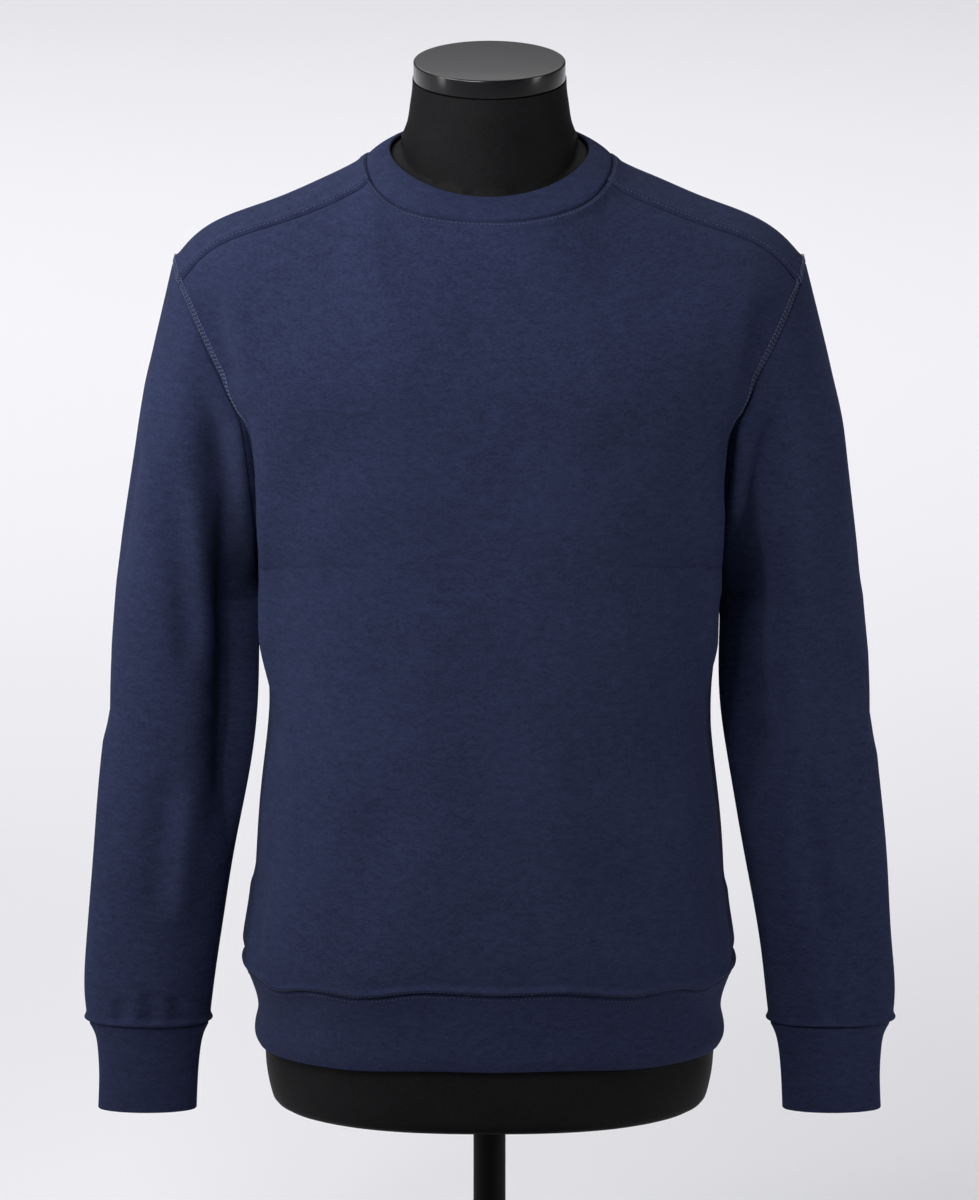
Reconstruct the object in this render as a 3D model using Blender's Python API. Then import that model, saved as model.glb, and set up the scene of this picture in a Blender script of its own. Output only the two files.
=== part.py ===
"""Crewneck sweatshirt worn on a limbless dress form, on a round counter stand.

Metres, +Z up, the front faces -Y and the wearer's left is +X. The origin is on the
surface that the stand rests on, under the middle of the stand's plate.

The garment is worked out as one smooth surface. Below the chest line it is made of
level sections, and above it of arches that run from the chest over the shoulder to the
back. The panels are cut from that surface along their seams, and each becomes a wall of
cloth.
"""

import math

import bmesh
import bpy
import numpy as np

# ---------------------------------------------------------------- driving sizes
CLOTH = 0.0020              # brushed fleece
BAND_CLOTH = 0.0030         # folded fabric of the collar, cuffs and hem band
SEAM_GAP = 0.0004           # between two pieces at a seam

HEM_SEAM_Z = 0.312          # where the body meets the hem band, at the sides
HEM_SEAM_RISE = 0.005       # and how much higher the seam is at the middle
ARMPIT_Z = 0.636            # lowest point of the armhole
CHEST_SIDE_Z = 0.748        # chest line at the armhole
CHEST_FRONT_Z = 0.775       # chest line at the centre front
CHEST_BACK_Z = 0.790        # chest line at the centre back
SHOULDER_REACH = 0.242      # half the width from armhole seam to armhole seam
RIDGE_Y = 0.005             # the shoulder's ridge lies this far behind the middle, at the armhole
ARMHOLE_FRONT = 0.062       # how far the armhole reaches forward
ARMHOLE_BACK = 0.065        # and back
YOKE_FORWARD = 0.036        # how far the shoulder seam lies in front of the ridge

NECK_HALF_WIDTH = 0.0945    # collar seam, from above
NECK_FRONT = 0.085
NECK_BACK = 0.080
NECK_SQUARENESS = 2.4
COLLAR_HALF_WIDTH = 0.0776  # the collar's free edge
COLLAR_FRONT = 0.0700
COLLAR_BACK = 0.0710
COLLAR_EDGE_Z = 0.9513      # at the sides of the neck
COLLAR_TILT = 0.0161        # the edge drops to the front and rises to the back by this
COLLAR_DIP = 0.0094         # and dips by this at the front and back
COLLAR_ROUND = 0.0015       # how far the band stands out between its edges

CUFF_SEAM_Z = 0.267
BICEPS_Z = 0.600            # where the sleeve has become a level tube

FORM_BOTTOM_Z = 0.198
FORM_CLEAR = 0.0026         # between the form and the cloth's inside, on the shoulders
COLLAR_CLEAR = 0.0018       # and inside the collar
NECK_TOP_Z = 1.0045
CAP_RADIUS = 0.058
CAP_THICKNESS = 0.015
CAP_TILT = math.radians(5.3)  # the neck cap leans to the front
CAP_Y = -0.004
POLE_RADIUS = 0.0125
PLATE_RADIUS = 0.170
PLATE_THICKNESS = 0.010
REST_GAP = 0.0003           # where two hard pieces meet

# Level sections of the body. The squareness is 2 for an ellipse, more for a boxier shape.
BODY_SECTIONS = (
    # side z, half width, front, back, squareness
    (0.312, 0.1885, 0.1310, 0.1220, 2.50),
    (0.332, 0.1875, 0.1330, 0.1240, 2.50),
    (0.360, 0.1835, 0.1328, 0.1225, 2.50),
    (0.405, 0.1795, 0.1310, 0.1180, 2.50),
    (0.450, 0.1755, 0.1290, 0.1100, 2.50),
    (0.514, 0.1703, 0.1262, 0.1035, 2.50),
    (0.580, 0.1737, 0.1242, 0.1030, 2.58),
    (0.636, 0.1770, 0.1232, 0.1070, 2.70),
    (0.690, 0.1870, 0.1226, 0.1110, 2.85),
    (0.748, 0.1980, 0.1220, 0.1130, 3.00),
)
# The line of the shoulder from the middle of the neck to the armhole.
RIDGE = (
    # x, z
    (0.0000, 0.9880),
    (0.0330, 0.9835),
    (0.0570, 0.9715),
    (0.0945, 0.9428),
    (0.1260, 0.9262),
    (0.1650, 0.9106),
    (0.2060, 0.8940),
    (0.2190, 0.8856),
    (0.2350, 0.8700),
    (0.2420, 0.8610),
)
# How square the arches over the shoulder are, from the middle (0) to the armhole (1).
ARCH_SQUARENESS = (
    # share, front, back
    (0.00, 1.70, 2.50),
    (0.37, 1.70, 2.25),
    (0.80, 1.90, 2.10),
    (1.00, 2.40, 2.30),
)
HEM_BAND = (
    # z, half width, front, back
    (0.312, 0.1885, 0.1310, 0.1220),
    (0.303, 0.1850, 0.1283, 0.1198),
    (0.290, 0.1806, 0.1262, 0.1184),
    (0.271, 0.1797, 0.1255, 0.1180),
    (0.256, 0.1812, 0.1252, 0.1180),
    (0.250, 0.1782, 0.1236, 0.1166),
)
HEM_SQUARENESS = 2.50
SLEEVE_SECTIONS = (
    # z, middle x, middle y, half width, half depth
    (0.600, 0.2326, 0.004, 0.0550, 0.0560),
    (0.561, 0.2343, 0.002, 0.0571, 0.0500),
    (0.514, 0.2370, 0.000, 0.0586, 0.0450),
    (0.451, 0.2450, -0.003, 0.0572, 0.0400),
    (0.388, 0.2530, -0.006, 0.0540, 0.0360),
    (0.325, 0.2600, -0.009, 0.0510, 0.0320),
    (0.285, 0.2632, -0.011, 0.0492, 0.0295),
    (0.267, 0.2635, -0.011, 0.0472, 0.0265),
)
CUFF = (
    # z, middle x, middle y, half width, half depth
    (0.267, 0.2635, -0.011, 0.0472, 0.0265),
    (0.259, 0.2633, -0.011, 0.0430, 0.0235),
    (0.246, 0.2635, -0.011, 0.0400, 0.0205),
    (0.225, 0.2640, -0.012, 0.0384, 0.0188),
    (0.199, 0.2650, -0.013, 0.0382, 0.0182),
)
# Level sections of the dress form, up to the ends of its shoulders.
FORM_SECTIONS = (
    # z, half width, front, back, squareness
    (0.198, 0.1480, 0.0960, 0.0900, 2.4),
    (0.202, 0.1600, 0.1070, 0.1000, 2.4),
    (0.211, 0.1688, 0.1150, 0.1075, 2.4),
    (0.229, 0.1725, 0.1180, 0.1105, 2.4),
    (0.265, 0.1735, 0.1185, 0.1110, 2.4),
    (0.330, 0.1715, 0.1170, 0.1080, 2.4),
    (0.420, 0.1600, 0.1110, 0.0950, 2.4),
    (0.510, 0.1520, 0.1060, 0.0860, 2.4),
    (0.600, 0.1600, 0.1110, 0.0900, 2.5),
    (0.680, 0.1720, 0.1170, 0.0970, 2.6),
    (0.760, 0.1830, 0.1150, 0.1010, 2.7),
    (0.830, 0.1930, 0.1080, 0.0990, 2.7),
    (0.880, 0.1980, 0.1030, 0.0960, 2.7),
    (0.950, 0.2000, 0.1000, 0.0950, 2.7),
)
# The neck of the form.
NECK_SECTIONS = (
    # z, half width, front, back
    (0.9200, 0.0800, 0.0655, 0.0700),
    (0.9400, 0.0745, 0.0650, 0.0680),
    (0.9500, 0.0718, 0.0646, 0.0660),
    (0.9555, 0.0696, 0.0643, 0.0645),
    (0.9630, 0.0660, 0.0640, 0.0625),
    (0.9710, 0.0630, 0.0636, 0.0605),
    (0.9870, 0.0604, 0.0630, 0.0570),
    (0.9950, 0.0592, 0.0626, 0.0556),
    (1.0060, 0.0588, 0.0622, 0.0545),
)

# How finely the walls are divided.
NECK_COLUMNS = 5            # from the middle to the collar's corner
SHOULDER_COLUMNS = 6        # from there to the armhole
SIDE_ROWS = 9               # from the hem seam to the armpit
ARMHOLE_ROWS = 4            # from the armpit to the chest line
FRONT_ARCH_ROWS = 5
YOKE_ROWS = 2
BACK_ARCH_ROWS = 6
SLEEVE_CAP_ROWS = 8
SLEEVE_ROWS = 11
FORM_SEGMENTS = 40

NAVY = (0.017, 0.022, 0.055, 1.0)
BLACK_JERSEY = (0.006, 0.006, 0.006, 1.0)
BLACK_LACQUER = (0.02, 0.02, 0.02, 1.0)


# ---------------------------------------------------------------- curves
def spline(knots, values):
    """A smooth curve through the values: a natural cubic spline over rising knots."""
    x = np.asarray(knots, float)
    y = np.asarray(values, float)
    step = np.diff(x)
    slope = np.diff(y) / step
    count = len(x)
    system = np.eye(count)
    right = np.zeros(count)
    for i in range(1, count - 1):
        system[i, i - 1] = step[i - 1]
        system[i, i] = 2 * (step[i - 1] + step[i])
        system[i, i + 1] = step[i]
        right[i] = 6 * (slope[i] - slope[i - 1])
    bend = np.linalg.solve(system, right)

    def at(t):
        t = np.clip(np.asarray(t, float), x[0], x[-1])
        i = np.clip(np.searchsorted(x, t, side="right") - 1, 0, count - 2)
        a = x[i + 1] - t
        b = t - x[i]
        h = step[i]
        return (
            (bend[i] * a**3 + bend[i + 1] * b**3) / (6 * h)
            + (y[i] / h - bend[i] * h / 6) * a
            + (y[i + 1] / h - bend[i + 1] * h / 6) * b
        )

    return at


def columns_of(table):
    """One spline for each column of a table after its first, over the first."""
    rows = np.array(sorted(table), float)
    return [spline(rows[:, 0], rows[:, k]) for k in range(1, rows.shape[1])]


def power(value, exponent):
    return np.maximum(value, 0.0) ** exponent


def section(half_width, depth, squareness, edge, shares):
    """Points of a quarter section, from its middle to where its depth has fallen to edge.

    The shares run from 0 to 1 along it, by length.
    """
    last = math.acos(min(1.0, (edge / depth) ** (squareness / 2)))
    turn = np.linspace(0, last, 400)
    x = half_width * power(np.sin(turn), 2 / squareness)
    y = depth * power(np.cos(turn), 2 / squareness)
    run = np.concatenate([[0], np.cumsum(np.hypot(np.diff(x), np.diff(y)))])
    at = np.asarray(shares) * run[-1]
    return np.interp(at, run, x), np.interp(at, run, y)


body_half_width, body_front, body_back, body_squareness = columns_of(BODY_SECTIONS)
ridge_z, = columns_of(RIDGE)
front_squareness, back_squareness = columns_of(ARCH_SQUARENESS)


# ---------------------------------------------------------------- the body's surface
def armhole_edge(z, reach):
    """How far the armhole reaches forward or back at height z: a round bottom."""
    if z <= ARMPIT_Z:
        return 0.0
    drop = (CHEST_SIDE_Z - z) / (CHEST_SIDE_Z - ARMPIT_Z)
    return reach * math.sqrt(max(0.0, 1 - drop * drop))


def body_row(side, side_z, shares):
    """A row of body points at the sides' height side_z, for the front (-1) or back (1)."""
    reach = ARMHOLE_FRONT if side < 0 else ARMHOLE_BACK
    middle_z = CHEST_FRONT_Z if side < 0 else CHEST_BACK_Z
    depth = body_front(side_z) if side < 0 else body_back(side_z)
    x, y = section(
        body_half_width(side_z), depth, body_squareness(side_z), armhole_edge(side_z, reach), shares
    )
    rise = max(0.0, side_z - HEM_SEAM_Z) / (CHEST_SIDE_Z - HEM_SEAM_Z)
    lift = (middle_z - CHEST_SIDE_Z) * rise * rise + HEM_SEAM_RISE * (1 - rise)
    z = side_z + lift * (1 - np.asarray(shares) ** 2)
    return np.stack([x, side * y, z], axis=1)


CHEST_STATIONS = np.linspace(0, 1, 401)
CHEST_LINES = {side: body_row(side, CHEST_SIDE_Z, CHEST_STATIONS) for side in (-1, 1)}


def chest_point(side, share):
    """The point of the chest line at this share from the middle to the armhole."""
    line = CHEST_LINES[side]
    return [float(np.interp(share, CHEST_STATIONS, line[:, k])) for k in range(3)]


def arch_point(side, share, turn):
    """A point of the arch at this share from the middle (0) to the armhole (1).

    turn is 0 at the chest line and a quarter turn at the shoulder's ridge.
    """
    x0, y0, z0 = chest_point(side, share)
    squareness = float((front_squareness if side < 0 else back_squareness)(share))
    x1 = SHOULDER_REACH * share
    y1 = RIDGE_Y * share
    z1 = float(ridge_z(x1))
    up = math.sin(turn) ** (2 / squareness) if turn > 0 else 0.0
    out = max(0.0, math.cos(turn)) ** (2 / squareness)
    return np.array([x0 + (x1 - x0) * up, y1 + (y0 - y1) * out, z0 + (z1 - z0) * up])


def surface_over(x, y):
    """(side, share, turn) of the arch point that lies over x, y. x isn't negative."""
    share = min(1.0, x / SHOULDER_REACH)
    for _ in range(30):
        ridge_y = RIDGE_Y * share
        side = -1 if y < ridge_y else 1
        x0, y0, _ = chest_point(side, share)
        squareness = float((front_squareness if side < 0 else back_squareness)(share))
        out = min(1.0, (y - ridge_y) / (y0 - ridge_y))
        up = (1 - out**squareness) ** (1 / squareness)
        miss = x - x0 - (SHOULDER_REACH * share - x0) * up
        share = min(1.0, max(0.0, share + miss / SHOULDER_REACH))
        if abs(miss) < 1e-7:
            break
    turn = math.atan2(power(up, squareness / 2), power(out, squareness / 2))
    return side, share, turn


def neck_ring(turn):
    """(x, y) of the collar seam. turn is 0 at the front, half a turn at the back."""
    bend = 2 / NECK_SQUARENESS
    reach = NECK_FRONT if math.cos(turn) > 0 else NECK_BACK
    x = NECK_HALF_WIDTH * abs(math.sin(turn)) ** bend
    y = -math.copysign(reach * abs(math.cos(turn)) ** bend, math.cos(turn))
    return x, y


def yoke_turn(share):
    """The turn at which the front arch at this share meets the shoulder seam."""
    low, high = 0.0, math.pi / 2
    for _ in range(40):
        middle = (low + high) / 2
        if arch_point(-1, share, middle)[1] < -YOKE_FORWARD + RIDGE_Y * share:
            low = middle
        else:
            high = middle
    return low


def find_corner():
    """The turn on the neck ring, and the share, where the shoulder seam meets the collar."""
    low, high = 0.0, math.pi / 2
    for _ in range(40):
        middle = (low + high) / 2
        _, share, _ = surface_over(*neck_ring(middle))
        if neck_ring(middle)[1] < -YOKE_FORWARD + RIDGE_Y * share:
            low = middle
        else:
            high = middle
    return low, share


CORNER_TURN, CORNER_SHARE = find_corner()
RIDGE_SHARE = surface_over(NECK_HALF_WIDTH, 0.0)[1]


def shoulder_steps():
    """Shares of the way from the collar to the armhole, closer together near the armhole."""
    return 1 - (1 - np.linspace(0, 1, SHOULDER_COLUMNS + 1)) ** 1.5


def half_shares():
    """Shares of the body's columns: the neck's, then the shoulder's."""
    neck = np.linspace(0, CORNER_SHARE, NECK_COLUMNS + 1)
    shoulder = CORNER_SHARE + (1 - CORNER_SHARE) * shoulder_steps()
    return np.concatenate([neck, shoulder[1:]])


def side_heights():
    """Heights of the body's rows at the sides, from the hem seam to the chest line."""
    low = np.linspace(HEM_SEAM_Z, ARMPIT_Z, SIDE_ROWS + 1)
    swing = np.linspace(0, math.pi / 2, ARMHOLE_ROWS + 1)[1:]
    high = CHEST_SIDE_Z - (CHEST_SIDE_Z - ARMPIT_Z) * np.cos(swing)
    return np.concatenate([low, high])


def mirrored(half):
    """A row of half a panel, from the middle out, made whole from the right side (-X) to the left."""
    other = half[:0:-1] * [-1, 1, 1]
    return np.concatenate([other, half])


def front_grid():
    rows = [mirrored(body_row(-1, z, half_shares())) for z in side_heights()]
    for k in range(1, FRONT_ARCH_ROWS + 1):
        rise = k / FRONT_ARCH_ROWS
        half = []
        for j, share in enumerate(half_shares()):
            if j < NECK_COLUMNS:
                ring = CORNER_TURN * j / NECK_COLUMNS
                _, top_share, top_turn = surface_over(*neck_ring(ring))
            else:
                top_share, top_turn = share, yoke_turn(share)
            half.append(arch_point(-1, share + (top_share - share) * rise, top_turn * rise))
        rows.append(mirrored(np.array(half)))
    return np.array(rows)


def back_grid():
    """The back from the hem seam to the back of the neck and the shoulders' ridge."""
    rows = [mirrored(body_row(1, z, half_shares())) for z in side_heights()]
    for k in range(1, BACK_ARCH_ROWS + 1):
        rise = k / BACK_ARCH_ROWS
        half = []
        for j, share in enumerate(half_shares()):
            if j < NECK_COLUMNS:
                ring = math.pi - (math.pi / 2) * j / NECK_COLUMNS
                _, top_share, top_turn = surface_over(*neck_ring(ring))
            else:
                along = shoulder_steps()[j - NECK_COLUMNS]
                top_share = RIDGE_SHARE + (1 - RIDGE_SHARE) * along
                top_turn = math.pi / 2
            half.append(arch_point(1, share + (top_share - share) * rise, top_turn * rise))
        rows.append(mirrored(np.array(half)))
    return np.array(rows)


def shoulder_grid():
    """The left part of the back that comes over the ridge, down to the shoulder seam."""
    rows = []
    for k in range(YOKE_ROWS + 1):
        drop = k / YOKE_ROWS
        ring = math.pi / 2 + (CORNER_TURN - math.pi / 2) * drop
        side, inner_share, inner_turn = surface_over(*neck_ring(ring))
        if side > 0 or k == 0:
            inner_turn = math.pi / 2
        row = []
        for j, along in enumerate(shoulder_steps()):
            share = inner_share + (1 - inner_share) * along
            if k == 0:
                share = RIDGE_SHARE + (1 - RIDGE_SHARE) * along
            turn = math.pi / 2 + (yoke_turn(share) - math.pi / 2) * drop
            if j == 0:
                turn = inner_turn
            row.append(arch_point(-1, share, turn))
        rows.append(row)
    return np.array(rows)


def armhole_loop(front, back, shoulder):
    """The left armhole's points, from the armpit over the front, the top and the back."""
    up_front = front[SIDE_ROWS:, -1]
    over_top = shoulder[::-1][1:-1, -1]
    down_back = back[SIDE_ROWS:, -1][::-1]
    return np.concatenate([up_front, over_top, down_back[:-1]])


# ---------------------------------------------------------------- sleeve and bands
def ring_points(middle_x, middle_y, half_width, half_depth, z, turns):
    """A level ring of the sleeve. turn 0 is next to the body, a quarter turn is the front."""
    x = middle_x - half_width * np.cos(turns)
    y = middle_y - half_depth * np.sin(turns)
    return np.stack([x, y, np.full(len(turns), z)], axis=1)


def sleeve_grid(loop):
    """The left sleeve, from the armhole to the cuff seam."""
    steps = np.linalg.norm(np.diff(np.concatenate([loop, loop[:1]]), axis=0), axis=1)
    run = np.concatenate([[0], np.cumsum(steps)])[:-1] / steps.sum()
    turns = 2 * math.pi * run
    tube = columns_of(SLEEVE_SECTIONS)
    biceps = ring_points(*[float(c(BICEPS_Z)) for c in tube], BICEPS_Z, turns)
    below = ring_points(*[float(c(BICEPS_Z - 0.01)) for c in tube], BICEPS_Z - 0.01, turns)
    downward = (below - biceps) / np.linalg.norm(below - biceps, axis=1)[:, None]
    # Leaving the seam the sleeve runs out and down, most of all at the top of the shoulder.
    outer = (1 - np.cos(turns)) / 2
    leave = np.stack([0.10 + 0.17 * outer, -0.20 * np.sin(turns), -np.ones(len(turns))], axis=1)
    leave /= np.linalg.norm(leave, axis=1)[:, None]
    reach = np.linalg.norm(biceps - loop, axis=1)[:, None]
    rows = []
    for k in range(SLEEVE_CAP_ROWS + 1):
        t = k / SLEEVE_CAP_ROWS
        rows.append(
            (2 * t**3 - 3 * t**2 + 1) * loop
            + (t**3 - 2 * t**2 + t) * reach * leave
            + (3 * t**2 - 2 * t**3) * biceps
            + (t**3 - t**2) * reach * downward
        )
    for z in np.linspace(BICEPS_Z, CUFF_SEAM_Z, SLEEVE_ROWS + 1)[1:]:
        rows.append(ring_points(*[float(c(z)) for c in tube], z, turns))
    return np.array(rows), turns


def cuff_grid(turns):
    tube = columns_of(CUFF)
    rows = [ring_points(*[float(c(row[0])) for c in tube], row[0], turns) for row in CUFF]
    return np.array(rows)


def hem_grid(front_row, back_row):
    """The hem band. Its columns are those of the front, then of the back."""
    shares = half_shares()
    rows = [np.concatenate([front_row, back_row[::-1][1:-1]])]
    for z, half_width, front, back in HEM_BAND[1:]:
        x, y = section(half_width, front, HEM_SQUARENESS, 0.0, shares)
        before = mirrored(np.stack([x, -y, np.full(len(x), z)], axis=1))
        x, y = section(half_width, back, HEM_SQUARENESS, 0.0, shares)
        behind = mirrored(np.stack([x, y, np.full(len(x), z)], axis=1))
        rows.append(np.concatenate([before, behind[::-1][1:-1]]))
    return np.array(rows)


def collar_edge(turn):
    front = math.cos(turn)
    reach = COLLAR_FRONT if front > 0 else COLLAR_BACK
    return np.array([
        COLLAR_HALF_WIDTH * math.sin(turn),
        -reach * front,
        COLLAR_EDGE_Z - COLLAR_TILT * front - COLLAR_DIP * front * front,
    ])


def collar_grid(front, back, shoulder):
    """The collar, from its seam to its free edge, round from the centre front by the left."""
    middle = NECK_COLUMNS + SHOULDER_COLUMNS
    seam = list(front[-1, middle:middle + NECK_COLUMNS + 1])
    seam += list(shoulder[::-1][1:-1, 0])
    seam += list(back[-1, middle:middle + NECK_COLUMNS + 1][::-1])
    seam = np.array(seam)
    seam = np.concatenate([seam, seam[-2:0:-1] * [-1, 1, 1]])
    plan = np.arctan2(
        seam[:, 0] / NECK_HALF_WIDTH,
        -seam[:, 1] / np.where(seam[:, 1] < 0, NECK_FRONT, NECK_BACK),
    )
    edge = np.array([collar_edge(t) for t in plan])
    out = np.stack([np.sin(plan), -np.cos(plan), np.full(len(plan), 0.8)], axis=1)
    out /= np.linalg.norm(out, axis=1)[:, None]
    rows = []
    for t in (0.0, 0.5, 1.0):
        rows.append(seam + (edge - seam) * t + out * COLLAR_ROUND * 4 * t * (1 - t))
    return np.array(rows)


# ---------------------------------------------------------------- from grids to solids
def grid_faces(rows, columns, closed, start=0):
    """Quads of a grid of points. A closed one joins its last column to its first."""
    faces = []
    for r in range(rows - 1):
        for c in range(columns if closed else columns - 1):
            right = (c + 1) % columns
            a, b = start + r * columns + c, start + r * columns + right
            faces.append((a, b, b + columns, a + columns))
    return faces


def flipped(faces):
    return [tuple(reversed(face)) for face in faces]


def welded(points, faces):
    """Points at the same place made one."""
    keys, index = np.unique(points, axis=0, return_inverse=True)
    index = index.reshape(-1)
    return keys, [tuple(int(index[i]) for i in face) for face in faces]


def grid_piece(grid, closed=False, flip=False):
    rows, columns = grid.shape[:2]
    faces = grid_faces(rows, columns, closed)
    points = np.round(grid.reshape(-1, 3), 6) + 0.0
    return points, flipped(faces) if flip else faces


def joined(*pieces):
    points, faces, start = [], [], 0
    for piece_points, piece_faces in pieces:
        points.append(piece_points)
        faces += [tuple(i + start for i in face) for face in piece_faces]
        start += len(piece_points)
    return welded(np.concatenate(points), faces)


def mirror_piece(piece):
    points, faces = piece
    return points * [-1, 1, 1] + 0.0, flipped(faces)


def triangles(points, quads):
    """Each quad split along its shorter diagonal."""
    split = []
    for a, b, c, d in quads:
        if np.linalg.norm(points[a] - points[c]) <= np.linalg.norm(points[b] - points[d]):
            split += [(a, b, c), (a, c, d)]
        else:
            split += [(a, b, d), (b, c, d)]
    return split


def face_normal(points, face):
    a, b, c, d = (points[i] for i in face)
    return np.cross(c - a, d - b)


def key_of(point):
    return tuple(np.round(point, 6) + 0.0)


def unit(vector):
    return vector / np.linalg.norm(vector)


def surface_normals(points, faces):
    """The outward direction at each place of a surface."""
    total = {}
    for face in faces:
        normal = face_normal(points, face)
        for i in face:
            key = key_of(points[i])
            total[key] = total.get(key, 0) + normal
    return {key: unit(normal) for key, normal in total.items()}


def wall(piece, own, others, thickness):
    """A closed wall of cloth inside this outer surface, drawn back from its edges by half a gap.

    own is the direction outwards at each place, others that of the surfaces that meet it there.
    """
    points, faces = piece
    count = len(points)
    out = np.array([own[key_of(point)] for point in points])
    edges = {(a, b) for face in faces for a, b in zip(face, face[1:] + face[:1])}
    rim = [(a, b) for a, b in sorted(edges) if (b, a) not in edges]
    inward = {}
    for a, b in rim:
        for i in (a, b):
            inward.setdefault(i, []).append(unit(np.cross(out[i], points[b] - points[a])))
    outer = points.copy()
    for i, (first, last) in inward.items():
        pull = (first + last) / (1 + float(first @ last))
        outer[i] += SEAM_GAP / 2 * pull
        other = others.get(key_of(points[i]), out[i])
        # Where two pieces fold sharply towards each other, each keeps its own direction.
        if float(other @ out[i]) > 0.3 or float(other @ pull) < -0.2:
            out[i] = unit(out[i] + other)
        else:
            outer[i] -= SEAM_GAP / 2 * out[i]
    inner = outer - out * thickness
    all_faces = triangles(points, faces)
    all_faces += [tuple(i + count for i in reversed(face)) for face in all_faces]
    for a, b in rim:
        # Both sides of a seam are split along the same diagonal.
        if tuple(points[a]) < tuple(points[b]):
            all_faces += [(b, a, a + count), (b, a + count, b + count)]
        else:
            all_faces += [(b, a, b + count), (a, a + count, b + count)]
    return np.concatenate([outer, inner]), all_faces


def material(name, colour, roughness, metallic=0.0):
    made = bpy.data.materials.new(name)
    made.use_nodes = True
    shader = made.node_tree.nodes["Principled BSDF"]
    shader.inputs["Base Color"].default_value = colour
    shader.inputs["Roughness"].default_value = roughness
    shader.inputs["Metallic"].default_value = metallic
    return made


def add_object(name, points, faces, made_of):
    mesh = bpy.data.meshes.new(name)
    mesh.from_pydata([tuple(p) for p in points], [], faces)
    mesh.materials.append(made_of)
    mesh.shade_smooth()
    mesh.set_sharp_from_angle(angle=math.radians(50))
    piece = bpy.data.objects.new(name, mesh)
    bpy.context.scene.collection.objects.link(piece)
    return piece


# ---------------------------------------------------------------- the dress form
def shoulder_limit(x, y):
    """The highest that the form may be under the shoulders at x, y."""
    side, share, turn = surface_over(abs(x), y)
    here = arch_point(side, share, turn)
    before, after = max(0.0, share - 0.01), min(1.0, share + 0.01)
    along = arch_point(side, after, turn) - arch_point(side, before, turn)
    below, above = max(0.0, turn - 0.01), min(turn + 0.01, math.pi / 2)
    up = arch_point(side, share, above) - arch_point(side, share, below)
    normal = np.cross(along, up)
    steep = max(0.25, abs(normal[2]) / np.linalg.norm(normal))
    return here[2] - (CLOTH + FORM_CLEAR) / steep


def reach_at(z, angle, sections):
    """How far a section at this height reaches from the middle, at this plan angle."""
    half_width, front, back, squareness = [float(c(z)) for c in sections]
    depth = front if math.cos(angle) > 0 else back
    wide = abs(math.sin(angle)) / half_width
    deep = abs(math.cos(angle)) / depth
    return (wide**squareness + deep**squareness) ** (-1 / squareness)


def under_collar(angle):
    """(reach, z) of the form below the collar's seam and below its free edge, at this plan angle."""
    side, ahead = abs(math.sin(angle)), math.cos(angle)
    seam = (NECK_FRONT if ahead > 0 else NECK_BACK, COLLAR_FRONT if ahead > 0 else COLLAR_BACK)
    wide, deep = side / NECK_HALF_WIDTH, abs(ahead) / seam[0]
    seam_reach = (wide**NECK_SQUARENESS + deep**NECK_SQUARENESS) ** (-1 / NECK_SQUARENESS)
    edge_reach = 1 / math.hypot(side / COLLAR_HALF_WIDTH, ahead / seam[1])
    seam_z = arch_point(*surface_over(seam_reach * side, -seam_reach * ahead))[2]
    edge_z = collar_edge(math.atan2(side / COLLAR_HALF_WIDTH, ahead / seam[1]))[2]
    slope = (edge_z - seam_z) / math.hypot(edge_z - seam_z, seam_reach - edge_reach)
    inside = (BAND_CLOTH + COLLAR_CLEAR) / slope
    return seam_reach - inside, seam_z, edge_reach - inside, edge_z


def form_reach(z, angle, torso, neck):
    """How far the form reaches from the middle at this height and plan angle."""
    seam_reach, seam_z, edge_reach, edge_z = under_collar(angle)
    if z > edge_z:
        return min(edge_reach, reach_at(z, angle, neck))
    if z > seam_z:
        return seam_reach + (edge_reach - seam_reach) * (z - seam_z) / (edge_z - seam_z)
    if z < CHEST_SIDE_Z:
        return reach_at(z, angle, torso)
    low, high = 0.0, reach_at(z, angle, torso)
    for _ in range(14):
        middle = (low + high) / 2
        if shoulder_limit(middle * math.sin(angle), -middle * math.cos(angle)) > z:
            low = middle
        else:
            high = middle
    return low


def form_ring(z, torso, neck):
    """A level ring of the form, round from the front by the left."""
    ring = []
    for k in range(FORM_SEGMENTS):
        angle = 2 * math.pi * k / FORM_SEGMENTS
        reach = form_reach(z, angle, torso, neck)
        ring.append((reach * math.sin(angle), -reach * math.cos(angle), z))
    return ring


def form_torso(made_of):
    torso = columns_of(FORM_SECTIONS)
    neck = columns_of([(*row, 2.1) for row in NECK_SECTIONS])
    heights = [row[0] for row in FORM_SECTIONS[:9]]
    heights += [0.640, 0.680, 0.720, 0.750, 0.780, 0.805, 0.830, 0.850, 0.866, 0.878, 0.888]
    heights += [0.897, 0.904, 0.911, 0.917, 0.923, 0.929, 0.935, 0.941, 0.946, 0.951]
    heights += [row[0] for row in NECK_SECTIONS[3:-1]]
    rings = [form_ring(z, torso, neck) for z in heights]
    lean = math.tan(CAP_TILT)
    top = form_ring(NECK_TOP_Z, torso, neck)
    rings.append([(x, y, z + (y - CAP_Y) * lean) for x, y, z in top])
    points = np.array(rings).reshape(-1, 3)
    faces = triangles(points, grid_faces(len(rings), FORM_SEGMENTS, closed=True))
    faces.append(tuple(reversed(range(FORM_SEGMENTS))))
    last = (len(rings) - 1) * FORM_SEGMENTS
    faces.append(tuple(last + k for k in range(FORM_SEGMENTS)))
    return add_object("form_torso", points, faces, made_of)


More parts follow.
